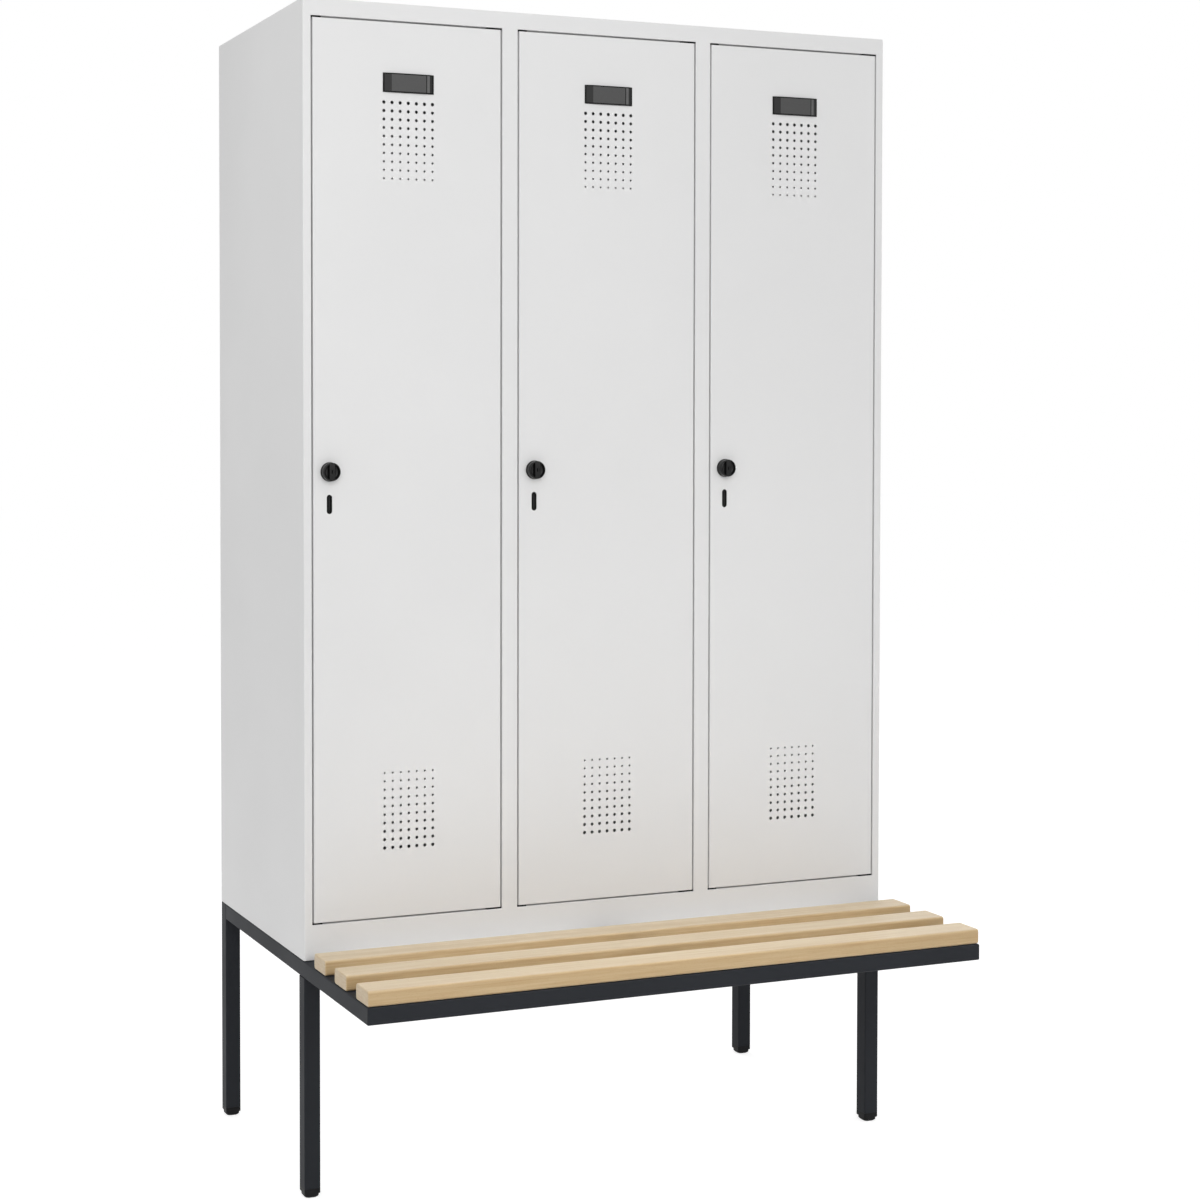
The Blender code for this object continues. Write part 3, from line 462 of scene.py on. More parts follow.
class Nodes:
    """Short ways to add and join shader nodes in one material."""

    def __init__(self, name):
        self.material = bpy.data.materials.new(name)
        self.material.use_nodes = True
        self.tree = self.material.node_tree
        self.shader = self.tree.nodes["Principled BSDF"]
        self.place = self.tree.nodes.new("ShaderNodeTexCoord").outputs["Object"]

    def link(self, source, target):
        self.tree.links.new(source, target)

    def noise(self, scale=1.0, detail=2.0, roughness=0.5, distortion=0.0, stretch=None):
        """Noise of one scale, or with a scale for each axis in its stretch."""
        place = self.place
        if stretch is not None:
            mapping = self.tree.nodes.new("ShaderNodeMapping")
            mapping.inputs["Scale"].default_value = stretch
            self.link(place, mapping.inputs["Vector"])
            place = mapping.outputs["Vector"]
        node = self.tree.nodes.new("ShaderNodeTexNoise")
        node.inputs["Scale"].default_value = scale
        node.inputs["Detail"].default_value = detail
        node.inputs["Roughness"].default_value = roughness
        node.inputs["Distortion"].default_value = distortion
        self.link(place, node.inputs["Vector"])
        return node.outputs["Fac"]

    def span(self, value, low, high, to_low, to_high):
        """Maps a value from one range to another and keeps it there."""
        node = self.tree.nodes.new("ShaderNodeMapRange")
        settings = (("From Min", low), ("From Max", high), ("To Min", to_low), ("To Max", to_high))
        for name, number in settings:
            node.inputs[name].default_value = number
        self.link(value, node.inputs["Value"])
        return node.outputs["Result"]

    def share(self, noise, low=NOISE_LOW, high=NOISE_HIGH, most=1.0):
        """Grows from nothing to the most as the noise goes from low to high."""
        return self.span(noise, low, high, 0.0, most)

    def gloss(self, noise, smoothest, roughest):
        return self.span(noise, NOISE_LOW, NOISE_HIGH, smoothest, roughest)

    def mix(self, factor, first, second, blend="MIX"):
        """Mixes two colours, each a socket or three numbers."""
        node = self.tree.nodes.new("ShaderNodeMix")
        node.data_type = "RGBA"
        node.blend_type = blend
        sockets = [socket for socket in node.inputs if socket.enabled]
        for socket, value in zip(sockets, (factor, first, second)):
            if isinstance(value, bpy.types.NodeSocket):
                self.link(value, socket)
            elif isinstance(value, tuple):
                socket.default_value = (*value, 1.0)
            else:
                socket.default_value = value
        return [socket for socket in node.outputs if socket.enabled][0]

    def absolute(self, value):
        node = self.tree.nodes.new("ShaderNodeMath")
        node.operation = "ABSOLUTE"
        self.link(value, node.inputs[0])
        return node.outputs["Value"]

    def bump(self, height, distance, strength, normal=None):
        node = self.tree.nodes.new("ShaderNodeBump")
        node.inputs["Distance"].default_value = distance
        node.inputs["Strength"].default_value = strength
        self.link(height, node.inputs["Height"])
        if normal is not None:
            self.link(normal, node.inputs["Normal"])
        return node.outputs["Normal"]

    def finish(self, colour, roughness, normal, constant, value):
        """Completes the material, with one more of the shader's own sockets set to a number."""
        for name, source in (("Base Color", colour), ("Roughness", roughness), ("Normal", normal)):
            self.link(source, self.shader.inputs[name])
        self.shader.inputs[constant].default_value = value
        return self.material


def powder_coat(name, light, dark, roughness, specular):
    """Baked powder: orange peel of a few millimetres, and a faint drift in tone and gloss."""
    nodes = Nodes(name)
    drift = nodes.noise(scale=2.2, detail=3.0)
    colour = nodes.mix(nodes.share(drift), dark, light)
    speckle = nodes.noise(scale=1500.0, detail=1.0)
    colour = nodes.mix(nodes.share(speckle, 0.35, 0.75, most=0.12), colour, dark)
    gloss = nodes.gloss(nodes.noise(scale=7.0, detail=3.0), roughness - 0.03, roughness + 0.04)
    peel = nodes.noise(scale=420.0, detail=2.0, roughness=0.4)
    wave = nodes.noise(scale=26.0, detail=1.0)
    normal = nodes.bump(peel, distance=0.000025, strength=0.6)
    normal = nodes.bump(wave, distance=0.0002, strength=0.25, normal=normal)
    return nodes.finish(colour, gloss, normal, "Specular IOR Level", specular)


def beech(name):
    """Lacquered beech with grain along X, with painted shade that darkens and warms the faces
    turned to ±Y, plainer on its ends.
    """
    nodes = Nodes(name)
    bands = nodes.noise(detail=3.0, distortion=0.5, stretch=(1.6, 42.0, 42.0))
    fibres = nodes.noise(detail=4.0, roughness=0.6, distortion=0.3, stretch=(7.0, 380.0, 380.0))
    flecks = nodes.noise(detail=1.0, stretch=(260.0, 1300.0, 1300.0))
    patches = nodes.noise(scale=3.0)
    colour = nodes.mix(nodes.share(bands, 0.32, 0.70), BEECH_LIGHT, BEECH_DARK)
    colour = nodes.mix(nodes.share(fibres, 0.42, 0.70, most=0.62), colour, BEECH_GRAIN)
    colour = nodes.mix(nodes.share(patches, 0.50, 0.75, most=0.25), colour, BEECH_DARK)
    colour = nodes.mix(nodes.share(flecks, 0.62, 0.74, most=0.28), colour, BEECH_FLECK)

    facing = nodes.tree.nodes.new("ShaderNodeNewGeometry").outputs["Normal"]
    parts = nodes.tree.nodes.new("ShaderNodeSeparateXYZ")
    nodes.link(facing, parts.inputs["Vector"])
    # Painted shade: faces turned to ±Y get a multiplied, darker and warmer tone than the lit tops
    painted_shade_share = nodes.share(nodes.absolute(parts.outputs["Y"]), 0.3, 0.9)
    colour = nodes.mix(painted_shade_share, colour, nodes.mix(1.0, colour, BEECH_PAINTED_SHADE, "MULTIPLY"))
    on_end = nodes.share(nodes.absolute(parts.outputs["X"]), 0.6, 0.9)
    rings = nodes.noise(distortion=0.8, stretch=(30.0, 45.0, 300.0))
    sawn = nodes.mix(nodes.share(rings, 0.35, 0.65, most=0.6), BEECH_DARK, BEECH_GRAIN)
    pores = nodes.noise(scale=1600.0, detail=1.0)
    sawn = nodes.mix(nodes.share(pores, 0.55, 0.70, most=0.18), sawn, BEECH_FLECK)
    colour = nodes.mix(on_end, colour, sawn)

    gloss = nodes.gloss(fibres, 0.32, 0.42)
    normal = nodes.bump(fibres, distance=0.00004, strength=0.4)
    normal = nodes.bump(bands, distance=0.0002, strength=0.15, normal=normal)
    return nodes.finish(colour, gloss, normal, "Specular IOR Level", 0.40)


def moulded_plastic(name, tone, roughness, specular):
    """Plastic with a fine spark-eroded grain."""
    nodes = Nodes(name)
    cloud = nodes.noise(scale=90.0)
    deeper_tone = tuple(PLASTIC_SHADE * part for part in tone)
    colour = nodes.mix(nodes.share(cloud), deeper_tone, tone)
    grain = nodes.noise(scale=2600.0, detail=2.0, roughness=0.6)
    gloss = nodes.gloss(grain, roughness - 0.05, roughness + 0.06)
    normal = nodes.bump(grain, distance=0.00003, strength=0.5)
    return nodes.finish(colour, gloss, normal, "Specular IOR Level", specular)


def zinc_plate(name):
    """Zinc-plated steel with a drawn grain and cloudy spots."""
    nodes = Nodes(name)
    cloud = nodes.noise(scale=55.0, detail=3.0, roughness=0.6)
    colour = nodes.mix(nodes.share(cloud), ZINC_DARK, ZINC_LIGHT)
    drawn = nodes.noise(stretch=(40.0, 1800.0, 1800.0))
    gloss = nodes.gloss(cloud, 0.26, 0.42)
    normal = nodes.bump(drawn, distance=0.00002, strength=0.5)
    return nodes.finish(colour, gloss, normal, "Metallic", 1.0)


def label_card(name):
    """Dark card behind a clear matt cover, without any writing."""
    nodes = Nodes(name)
    fibres = nodes.noise(scale=700.0, detail=3.0, roughness=0.6)
    colour = nodes.mix(nodes.share(fibres), CARD_DARK, CARD_LIGHT)
    gloss = nodes.gloss(nodes.noise(scale=60.0), 0.36, 0.44)
    normal = nodes.bump(fibres, distance=0.00001, strength=0.4)
    return nodes.finish(colour, gloss, normal, "Specular IOR Level", 0.4)


finishes = {
    "grey_enamel": powder_coat("grey_enamel", GREY_LIGHT, GREY_DARK, roughness=0.40, specular=0.5),
    "anthracite_enamel": powder_coat("anthracite_enamel", ANTHRACITE_LIGHT, ANTHRACITE_DARK,
                                     roughness=0.48, specular=0.07),
    "beech": beech("beech"),
    "black_plastic": moulded_plastic("black_plastic", BLACK, roughness=0.25, specular=0.24),
    "zinc": zinc_plate("zinc"),
}
rim_plastic = moulded_plastic("rim_plastic", BLACK, roughness=0.5, specular=0.08)
foot_plastic = moulded_plastic("foot_plastic", FOOT_BLACK, roughness=0.45, specular=0.12)
holder_plastic = moulded_plastic("holder_plastic", HOLDER_BLACK, roughness=0.45, specular=0.25)
strip_plastic = moulded_plastic("strip_plastic", STRIP_GREY, roughness=0.35, specular=0.3)
card = label_card("label_card")

slot_of_node = {row["node"]: row["material_slot"] for row in frame["record"]["subparts"]}
body_of_node = {}
for body_name, members in frame["record"]["behaviour"]["bodies"].items():
    for member in members:
        body_of_node[member] = body_name


# Places worked out from the frame

body_low, body_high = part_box("front_frame")
FRONT_Y = body_low.y
BODY_BOTTOM = body_low.z
BODY_TOP = body_high.z


def knob_place(number):
    low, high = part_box(f"turn_knob_{number}")
    return (low.x + high.x) / 2, (low.z + high.z) / 2


# Cabinet

def opening_span(number):
    """Left, right, bottom and top of the hole in the frame round a door."""
    low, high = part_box(f"door_panel_{number}")
    return low.x - DOOR_GAP, high.x + DOOR_GAP, low.z - DOOR_GAP, high.z + DOOR_GAP


def opening_faces(number):
    """Turned-in walls and stop lips of one door opening, with relief notches at the corners."""
    x0, x1, z0, z1 = opening_span(number)
    front, stop, hinge = FRONT_Y, FRONT_Y + STOP_DEPTH, FRONT_Y + HINGE_DEPTH
    near = FRONT_Y + NOTCH_START
    low_notch, high_notch = z0 + LATCH_NOTCH, z1 - LATCH_NOTCH
    left_notch, right_notch = x0 + LATCH_NOTCH, x1 - HINGE_NOTCH
    left_lip, right_lip = x0 + STOP_LIP, x1 - STOP_LIP
    faces = [
        [(x0, front, z0), (x0, front, z1), (x0, near, z1), (x0, stop, z1),
         (x0, stop, high_notch), (x0, stop, low_notch), (x0, stop, z0), (x0, near, z0)],
        [(x0, stop, low_notch), (x0, stop, high_notch),
         (left_lip, stop, high_notch), (left_lip, stop, low_notch)],
        [(x1, front, z0), (x1, front, z1), (x1, near, z1), (x1, stop, z1), (x1, hinge, z1),
         (x1, hinge, high_notch), (x1, hinge, low_notch), (x1, hinge, z0), (x1, stop, z0),
         (x1, near, z0)],
        [(x1, hinge, low_notch), (x1, hinge, high_notch),
         (right_lip, hinge, high_notch), (right_lip, hinge, low_notch)],
    ]
    for z, lip in ((z0, z0 + STOP_LIP), (z1, z1 - STOP_LIP)):
        faces += [
            [(x0, front, z), (x1, front, z), (x1, near, z), (left_notch, near, z), (x0, near, z)],
            [(left_notch, near, z), (x1, near, z), (x1, stop, z), (right_notch, stop, z),
             (left_notch, stop, z)],
            [(left_notch, stop, z), (right_notch, stop, z), (right_notch, stop, lip),
             (left_notch, stop, lip)],
        ]
    return faces


def front_faces(low, high, foot):
    """Face of the front frame round its three openings, and its returns at the outer edges."""
    stations = [low.x]
    for number in DOORS:
        stations += list(opening_span(number)[:2])
    stations.append(high.x)
    levels = [foot, *opening_span(1)[2:], high.z]
    behind = FRONT_Y + OUTER_RETURN + GAP
    faces = []
    for column, (x0, x1) in enumerate(zip(stations, stations[1:])):
        for row, (z0, z1) in enumerate(zip(levels, levels[1:])):
            is_opening = column % 2 == 1 and row == 1
            if not is_opening:
                faces.append([(x, FRONT_Y, z) for x, z in ((x0, z0), (x1, z0), (x1, z1), (x0, z1))])
        for z in (foot, high.z):
            faces.append([(x0, FRONT_Y, z), (x1, FRONT_Y, z), (x1, behind, z), (x0, behind, z)])
    for x in (low.x, high.x):
        for z0, z1 in zip(levels, levels[1:]):
            faces.append([(x, FRONT_Y, z0), (x, FRONT_Y, z1), (x, behind, z1), (x, behind, z0)])
    return faces


def is_along(edge, axis, *places):
    """Whether the whole edge lies at one of the places on an axis."""
    return all(min(abs(vertex.co[axis] - place) for place in places) < GAP for vertex in edge.verts)


def front_frame():
    """One welded face with rounded folds into the door openings and round the body's corners."""
    low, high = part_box("front_frame")
    foot = low.z + FRAME_FOOT_GAP
    faces = front_faces(low, high, foot)
    for number in DOORS:
        faces += opening_faces(number)
    bm = bmesh.new()
    for outline in faces:
        bm.faces.new([bm.verts.new(point) for point in outline])
    bmesh.ops.remove_doubles(bm, verts=bm.verts, dist=SAME_CORNER)
    bmesh.ops.recalc_face_normals(bm, faces=bm.faces)
    bm.faces.ensure_lookup_table()
    if bm.faces[0].normal.y > 0:
        bmesh.ops.reverse_faces(bm, faces=bm.faces)

    def is_front_fold(edge, outermost):
        if not is_along(edge, 1, FRONT_Y) or len(edge.link_faces) != 2:
            return False
        if edge.calc_face_angle() < SMOOTH_ANGLE:
            return False
        at_side = is_along(edge, 0, low.x, high.x)
        at_end = is_along(edge, 2, foot, high.z)
        return at_side if outermost else not (at_side or at_end)

    for outermost, radius in ((False, FRAME_BEND), (True, BODY_BEND)):
        folds = [edge for edge in bm.edges if is_front_fold(edge, outermost)]
        bmesh.ops.bevel(bm, geom=folds, offset=radius, segments=FRAME_SEGMENTS, profile=0.5,
                        affect="EDGES")
    piece = finished_object("front_frame_folded", bm, finishes["grey_enamel"])
    thickness = piece.modifiers.new("sheet", "SOLIDIFY")
    thickness.thickness = SHEET
    thickness.offset = -1
    thickness.solidify_mode = "NON_MANIFOLD"
    thickness.nonmanifold_thickness_mode = "CONSTRAINTS"
    add_weighted_normals(piece)
    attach(piece, "root")
    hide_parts("front_frame")


def cabinet_sheets():
    """Walls, roof, floor and fittings in sheet, closed against the front frame's return."""
    front_edge = FRONT_Y + OUTER_RETURN + GAP

    def close_front(point):
        if abs(point.y - front_edge) < SAME_CORNER:
            return Vector((point.x, point.y - GAP, point.z))
        return point

    for name in ("side_panel_left", "side_panel_right", "top_panel"):
        softened_copy(name, adjust=close_front)
    for name in ("back_panel", "floor_panel", "partition_1", "partition_2"):
        softened_copy(name)
    for number in DOORS:
        softened_copy(f"hat_shelf_{number}")
        softened_copy(f"door_stiffener_{number}")
        softened_copy(f"latch_cam_{number}")


# Doors

def vent_outlines(middle):
    """Round holes of both fields, which shrink towards the middle of the door."""
    outlines = []
    for row in range(VENT_ROWS):
        share = (row / (VENT_ROWS - 1)) ** VENT_TAPER
        radius = (VENT_LARGE + (VENT_SMALL - VENT_LARGE) * share) / 2
        for column in range(VENT_COLUMNS):
            x = middle + (column - (VENT_COLUMNS - 1) / 2) * VENT_COLUMN_PITCH
            upper = BODY_TOP - VENT_UPPER_TOP - row * VENT_ROW_PITCH
            lower = BODY_BOTTOM + VENT_LOWER_BOTTOM + row * VENT_ROW_PITCH
            for z in (upper, lower):
                outlines.append(circle_outline(radius, VENT_SIDES, (x, z)))
    return outlines


def fold_profile(depth):
    """Section of the door's folded rim as (inset, depth) pairs, out on the skin and back inside."""
    def arc(radius, backwards=False):
        """Sines and cosines through a quarter turn, times the radius."""
        angles = quarter_turn(ARC_STEPS)
        if backwards:
            angles = [pi / 2 - angle for angle in angles]
        return [(radius * sin(angle), radius * cos(angle)) for angle in angles]

    outer, inner = DOOR_BEND, DOOR_BEND - SHEET
    profile = [(DOOR_BEND - s, DOOR_BEND - c) for s, c in arc(outer)]
    profile += [(DOOR_BEND - s, depth - DOOR_BEND + c) for s, c in arc(outer, backwards=True)]
    profile += [(DOOR_LIP, depth), (DOOR_LIP, depth - SHEET)]
    profile += [(DOOR_BEND - s, depth - DOOR_BEND + c) for s, c in arc(inner)]
    profile += [(DOOR_BEND - s, DOOR_BEND - c) for s, c in arc(inner, backwards=True)]
    return profile


def slot_outline(centre, inset=0.0, width=SLOT_WIDTH, length=SLOT_LENGTH):
    """Upright slot with round ends, shrunk on every side by the inset."""
    width -= 2 * inset
    return rounded_outline(width, length - 2 * inset, width / 2, SLOT_STEPS, centre)


def door_panel(number):
    """Folded door shell with round vents and its lock openings."""
    low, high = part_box(f"door_panel_{number}")
    knob_x, knob_z = knob_place(number)
    holes = vent_outlines((low.x + high.x) / 2)
    holes.append(slot_outline((knob_x, knob_z - SLOT_DROP)))
    holes.append(circle_outline(SHAFT_RADIUS + GAP, SHAFT_SIDES, (knob_x, knob_z)))
    bm = bmesh.new()
    lay = shifted(along_y, (0, low.y, 0))
    flat = rectangle_outline(low.x, high.x, low.z, high.z, DOOR_BEND)
    add_pierced_plate(bm, flat, holes, 0.0, SHEET, lay)
    sections = [(rectangle_outline(low.x, high.x, low.z, high.z, inset), depth)
                for inset, depth in fold_profile(high.y - low.y)]
    add_rings(bm, sections, lay, capped=False)
    add_piece(f"door_shell_{number}", bm, f"door_{number}", "grey_enamel",
              (f"door_panel_{number}",))


def label_holder(number):
    """Raised holder with sloping ends: a black rim round its slope, blank card and finger strip."""
    low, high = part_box(f"label_holder_{number}")
    middle = (low.x + high.x) / 2
    half, face = (high.x - low.x) / 2, LABEL_FACE / 2
    back, proud, edge = FRONT_Y - GAP, low.y + LABEL_INLAY, FRONT_Y - LABEL_EDGE
    groove, strip = face + LABEL_GROOVE, face + LABEL_GROOVE + LABEL_STRIP
    step = proud + LABEL_STRIP_DROP
    floor = proud + LABEL_GROOVE_DEPTH
    outline = [(-half, back), (-half, edge), (-face, proud), (face, proud), (face, floor),
               (groove, floor), (groove, step), (strip, step), (half, edge), (half, back)]
    bm = bmesh.new()
    add_rings(bm, [([(middle + a, b) for a, b in outline], z) for z in (low.z, high.z)], along_z)
    holder = add_piece(f"label_frame_{number}", bm, f"door_{number}", "black_plastic",
                       (f"label_holder_{number}",), rim_plastic, weighted=False)
    soften(holder, LABEL_INLAY)

    def slope(a, a0, b0, a1, b1):
        return b0 + (a - a0) / (a1 - a0) * (b1 - b0)

    left_end, right_end = LABEL_RIM_LEFT - half, half - LABEL_RIM_RIGHT
    left_height = slope(left_end, -half, edge, -face, proud)
    right_height = slope(right_end, strip, step, half, edge)
    inlays = {
        "slope": (left_end, left_height, -face, proud, holder_plastic),
        "card": (-face, proud, face, proud, card),
        "strip": (groove, step, strip, step, strip_plastic),
        "end": (strip, step, right_end, right_height, holder_plastic),
    }
    for name, (a0, b0, a1, b1, finish) in inlays.items():
        outline = [(middle + a0, b0), (middle + a1, b1), (middle + a1, b1 - LABEL_INLAY),
                   (middle + a0, b0 - LABEL_INLAY)]
        bm = bmesh.new()
        add_rings(bm, [(outline, low.z + LABEL_RIM), (outline, high.z - LABEL_RIM)], along_z)
        add_piece(f"label_{name}_{number}", bm, f"door_{number}", "black_plastic", (), finish)


def lock_case(number):
    """Lock body behind the door, with the nose in the slot and the bar inside it."""
    low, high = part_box(f"lock_case_{number}")
    knob_x, knob_z = knob_place(number)
    slot = (knob_x, knob_z - SLOT_DROP)
    middle = ((low.x + high.x) / 2, (low.z + high.z) / 2)
    case_front = FRONT_Y + SHEET + GAP
    nose_front = FRONT_Y + SLOT_RECESS
    nose_floor = nose_front + SLOT_DEPTH
    round_off = CASE_CORNER / 2

    def case(inset):
        size = (high.x - low.x - 2 * inset, high.z - low.z - 2 * inset)
        return rounded_outline(*size, CASE_CORNER, SLOT_STEPS, middle)

    def bar(inset):
        return slot_outline(slot, inset, SLOT_BAR_WIDTH, SLOT_BAR_LENGTH)

    sections = [
        (case(round_off), high.y),
        (case(0.0), high.y - round_off),
        (case(0.0), case_front),
        (slot_outline(slot, GAP), case_front),
        (slot_outline(slot, GAP), nose_front + GAP),
        (slot_outline(slot, 2 * GAP), nose_front),
        (slot_outline(slot, SLOT_WALL - GAP), nose_front),
        (slot_outline(slot, SLOT_WALL), nose_front + GAP),
        (slot_outline(slot, SLOT_WALL + GAP), nose_floor),
        (bar(0.0), nose_floor),
        (bar(0.0), nose_front + 2 * GAP),
        (bar(2 * GAP), nose_front),
    ]
    bm = bmesh.new()
    add_rings(bm, sections, along_y)
    add_piece(f"lock_body_{number}", bm, f"door_{number}", "black_plastic",
              (f"lock_case_{number}",))


def scoop_outline(side, inset):
    """Rim of a scoop, straight along the grip and round along the knob, shrunk by the inset."""
    radius = KNOB_RADIUS - SCOOP_WALL - inset
    reach = acos((GRIP_WIDTH / 2 + inset) / radius)
    angles = [reach * (2 * step / SCOOP_STEPS - 1) for step in range(SCOOP_STEPS + 1)]
    return [(side * radius * cos(angle), radius * sin(angle)) for angle in angles]


def turn_knob(number):
    """Round knob with two hollow scoops beside an upright grip, and a lock core with its keyway."""
    low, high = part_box(f"turn_knob_{number}")
    x, z = knob_place(number)
    front, flange_back = low.y, FRONT_Y - GAP
    flange_front = flange_back - KNOB_FLANGE_THICKNESS
    lay = shifted(along_y, (x, 0, z))

    def ring(radius):
        return circle_outline(radius, KNOB_SIDES)

    sections = [
        (ring(SHAFT_RADIUS), high.y),
        (ring(SHAFT_RADIUS), flange_back),
        (ring(KNOB_FLANGE_RADIUS - KNOB_SOFTNESS), flange_back),
        (ring(KNOB_FLANGE_RADIUS), flange_back - KNOB_SOFTNESS),
        (ring(KNOB_FLANGE_RADIUS), flange_front + KNOB_SOFTNESS),
        (ring(KNOB_FLANGE_RADIUS - KNOB_SOFTNESS), flange_front),
        (ring(KNOB_RADIUS + KNOB_SOFTNESS), flange_front),
        (ring(KNOB_RADIUS), flange_front - KNOB_SOFTNESS),
    ]
    for angle in quarter_turn(ROUNDING_STEPS):
        radius = KNOB_RADIUS - KNOB_ROUNDING * (1 - cos(angle))
        sections.append((ring(radius), front + KNOB_ROUNDING * (1 - sin(angle))))
    bm = bmesh.new()
    add_rings(bm, sections, lay)
    knob = add_piece(f"knob_grip_{number}", bm, f"knob_{number}", "black_plastic",
                     (f"turn_knob_{number}",), weighted=False)

    for side in (-1, 1):
        bowl = [(scoop_outline(side, 0.0), front - SHEET)]
        for angle in quarter_turn(ROUNDING_STEPS):
            outline = scoop_outline(side, SCOOP_REACH * (1 - cos(angle)))
            bowl.append((outline, front + SCOOP_DEPTH * sin(angle)))
        carve(knob, bowl, lay)
    slot = rounded_outline(KEYWAY_WIDTH, KEYWAY_LENGTH, KEYWAY_WIDTH / 4, KEYWAY_STEPS)
    for outline, depth in ((ring(CORE_RADIUS), CORE_RECESS), (slot, KEYWAY_DEPTH)):
        carve(knob, [(outline, front - SHEET), (outline, front + depth)], lay)
    knob.data.set_sharp_from_angle(angle=SMOOTH_ANGLE)
    soften(knob, EDGE_SOFTNESS)


def plate_outlines(size, centre, steps):
    """Outline of a small plastic plate, and the one inside its softened edge."""
    full = rounded_outline(*size, BEARING_CORNER, steps, centre)
    inner = rounded_outline(size[0] - 2 * RIM_SOFTNESS, size[1] - 2 * RIM_SOFTNESS,
                            BEARING_CORNER - RIM_SOFTNESS, steps, centre)
    return full, inner


def pivot_pins(number):
    """Plastic pins, each with its bearing plate in the gap between frame and door."""
    door_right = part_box(f"door_panel_{number}")[1].x
    pin_place = (door_right - PIVOT_INSET, FRONT_Y + PIVOT_SETBACK)
    plate_points = 4 * (BEARING_STEPS + 1)
    pin = circle_outline(PIN_RADIUS, plate_points, pin_place)
    for end, turn in (("upper", -1), ("lower", 1)):
        node = f"pivot_pin_{end}_{number}"
        low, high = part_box(node)
        foot, tip = (high.z, low.z) if turn < 0 else (low.z, high.z)
        near = foot + turn * (SHEET + GAP)
        far = foot + turn * (SHEET + DOOR_GAP - GAP)
        centre = ((low.x + high.x) / 2, (low.y + high.y) / 2)
        plate, inner = plate_outlines((high.x - low.x, high.y - low.y), centre, BEARING_STEPS)
        sections = [(pin, foot), (pin, near), (inner, near), (plate, near + turn * RIM_SOFTNESS),
                    (plate, far - turn * RIM_SOFTNESS), (inner, far), (pin, far), (pin, tip)]
        bm = bmesh.new()
        add_rings(bm, sections, along_z)
        add_piece(f"pin_{end}_{number}", bm, "root", "black_plastic", (node,), rim_plastic)


def corner_buffers(number):
    """Rubber buffers in the gap at the latch corners, under the frame's cut-away folds."""
    x0, x1, z0, z1 = opening_span(number)
    size = (LATCH_NOTCH - 2 * GAP, BUFFER_DEPTH)
    centre = (x0 + LATCH_NOTCH / 2, FRONT_Y + BUFFER_SETBACK + BUFFER_DEPTH / 2)
    full, inner = plate_outlines(size, centre, BUFFER_STEPS)
    for end, low in (("lower", z0 + GAP), ("upper", z1 - DOOR_GAP + GAP)):
        high = low + DOOR_GAP - 2 * GAP
        sections = [(inner, low), (full, low + RIM_SOFTNESS), (full, high - RIM_SOFTNESS),
                    (inner, high)]
        bm = bmesh.new()
        add_rings(bm, sections, along_z)
        add_piece(f"buffer_{end}_{number}", bm, "root", "black_plastic", (), rim_plastic)


# Inside

def oval(grow):
    """The clothes rail's section, larger on every side by the growth."""
    width = RAIL_WIDTH + 2 * grow
    return rounded_outline(width, RAIL_HEIGHT + 2 * grow, RAIL_WIDTH / 2 + grow, OVAL_STEPS)


def clothes_rail(number):
    """Oval tube with a flanged cup at each end."""
    node = f"clothes_rail_{number}"
    low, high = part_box(node)
    lay = shifted(along_x, (0, (low.y + high.y) / 2, (low.z + high.z) / 2))
    sections = [(oval(-RAIL_WALL), low.x)]
    for wall, inward in ((low.x, 1), (high.x, -1)):
        rim = wall + inward * RAIL_CUP_THICKNESS
        cup = [(oval(RAIL_CUP), wall),
               (oval(RAIL_CUP), wall + inward * (RAIL_CUP_THICKNESS - RAIL_CUP_SOFTNESS)),
               (oval(RAIL_CUP - RAIL_CUP_SOFTNESS), rim),
               (oval(0.0), rim)]
        sections += cup if inward > 0 else cup[::-1]
    sections.append((oval(-RAIL_WALL), high.x))
    bm = bmesh.new()
    add_rings(bm, sections, lay, closed=True)
    add_piece(f"rail_{number}", bm, "root", "zinc", (node,))


def hook_outline(top, bend_z):
    """Two prongs that curve up from a stem, with a fillet on each side of it."""
    inner, outer = HOOK_BEND - HOOK_ROD / 2, HOOK_BEND + HOOK_ROD / 2
    side = HOOK_ROD / 2
    low_angle = -pi / 2 + (side + HOOK_FILLET) / inner
    stem_low = bend_z - inner + HOOK_FILLET
    middle = (0, bend_z)
    tip = spread_angles(0, pi, HOOK_TIP_STEPS)
    outline = arc_points(middle, outer, spread_angles(pi, pi, HOOK_STEPS))
    outline += arc_points((HOOK_BEND, bend_z), side, tip)
    outline += arc_points(middle, inner, spread_angles(0, low_angle, HOOK_STEPS // 2))
    outline += [(side, stem_low), (side, top), (-side, top), (-side, stem_low)]
    outline += arc_points(middle, inner, spread_angles(pi - low_angle, low_angle, HOOK_STEPS // 2))
    outline += arc_points((-HOOK_BEND, bend_z), side, tip)
    return outline


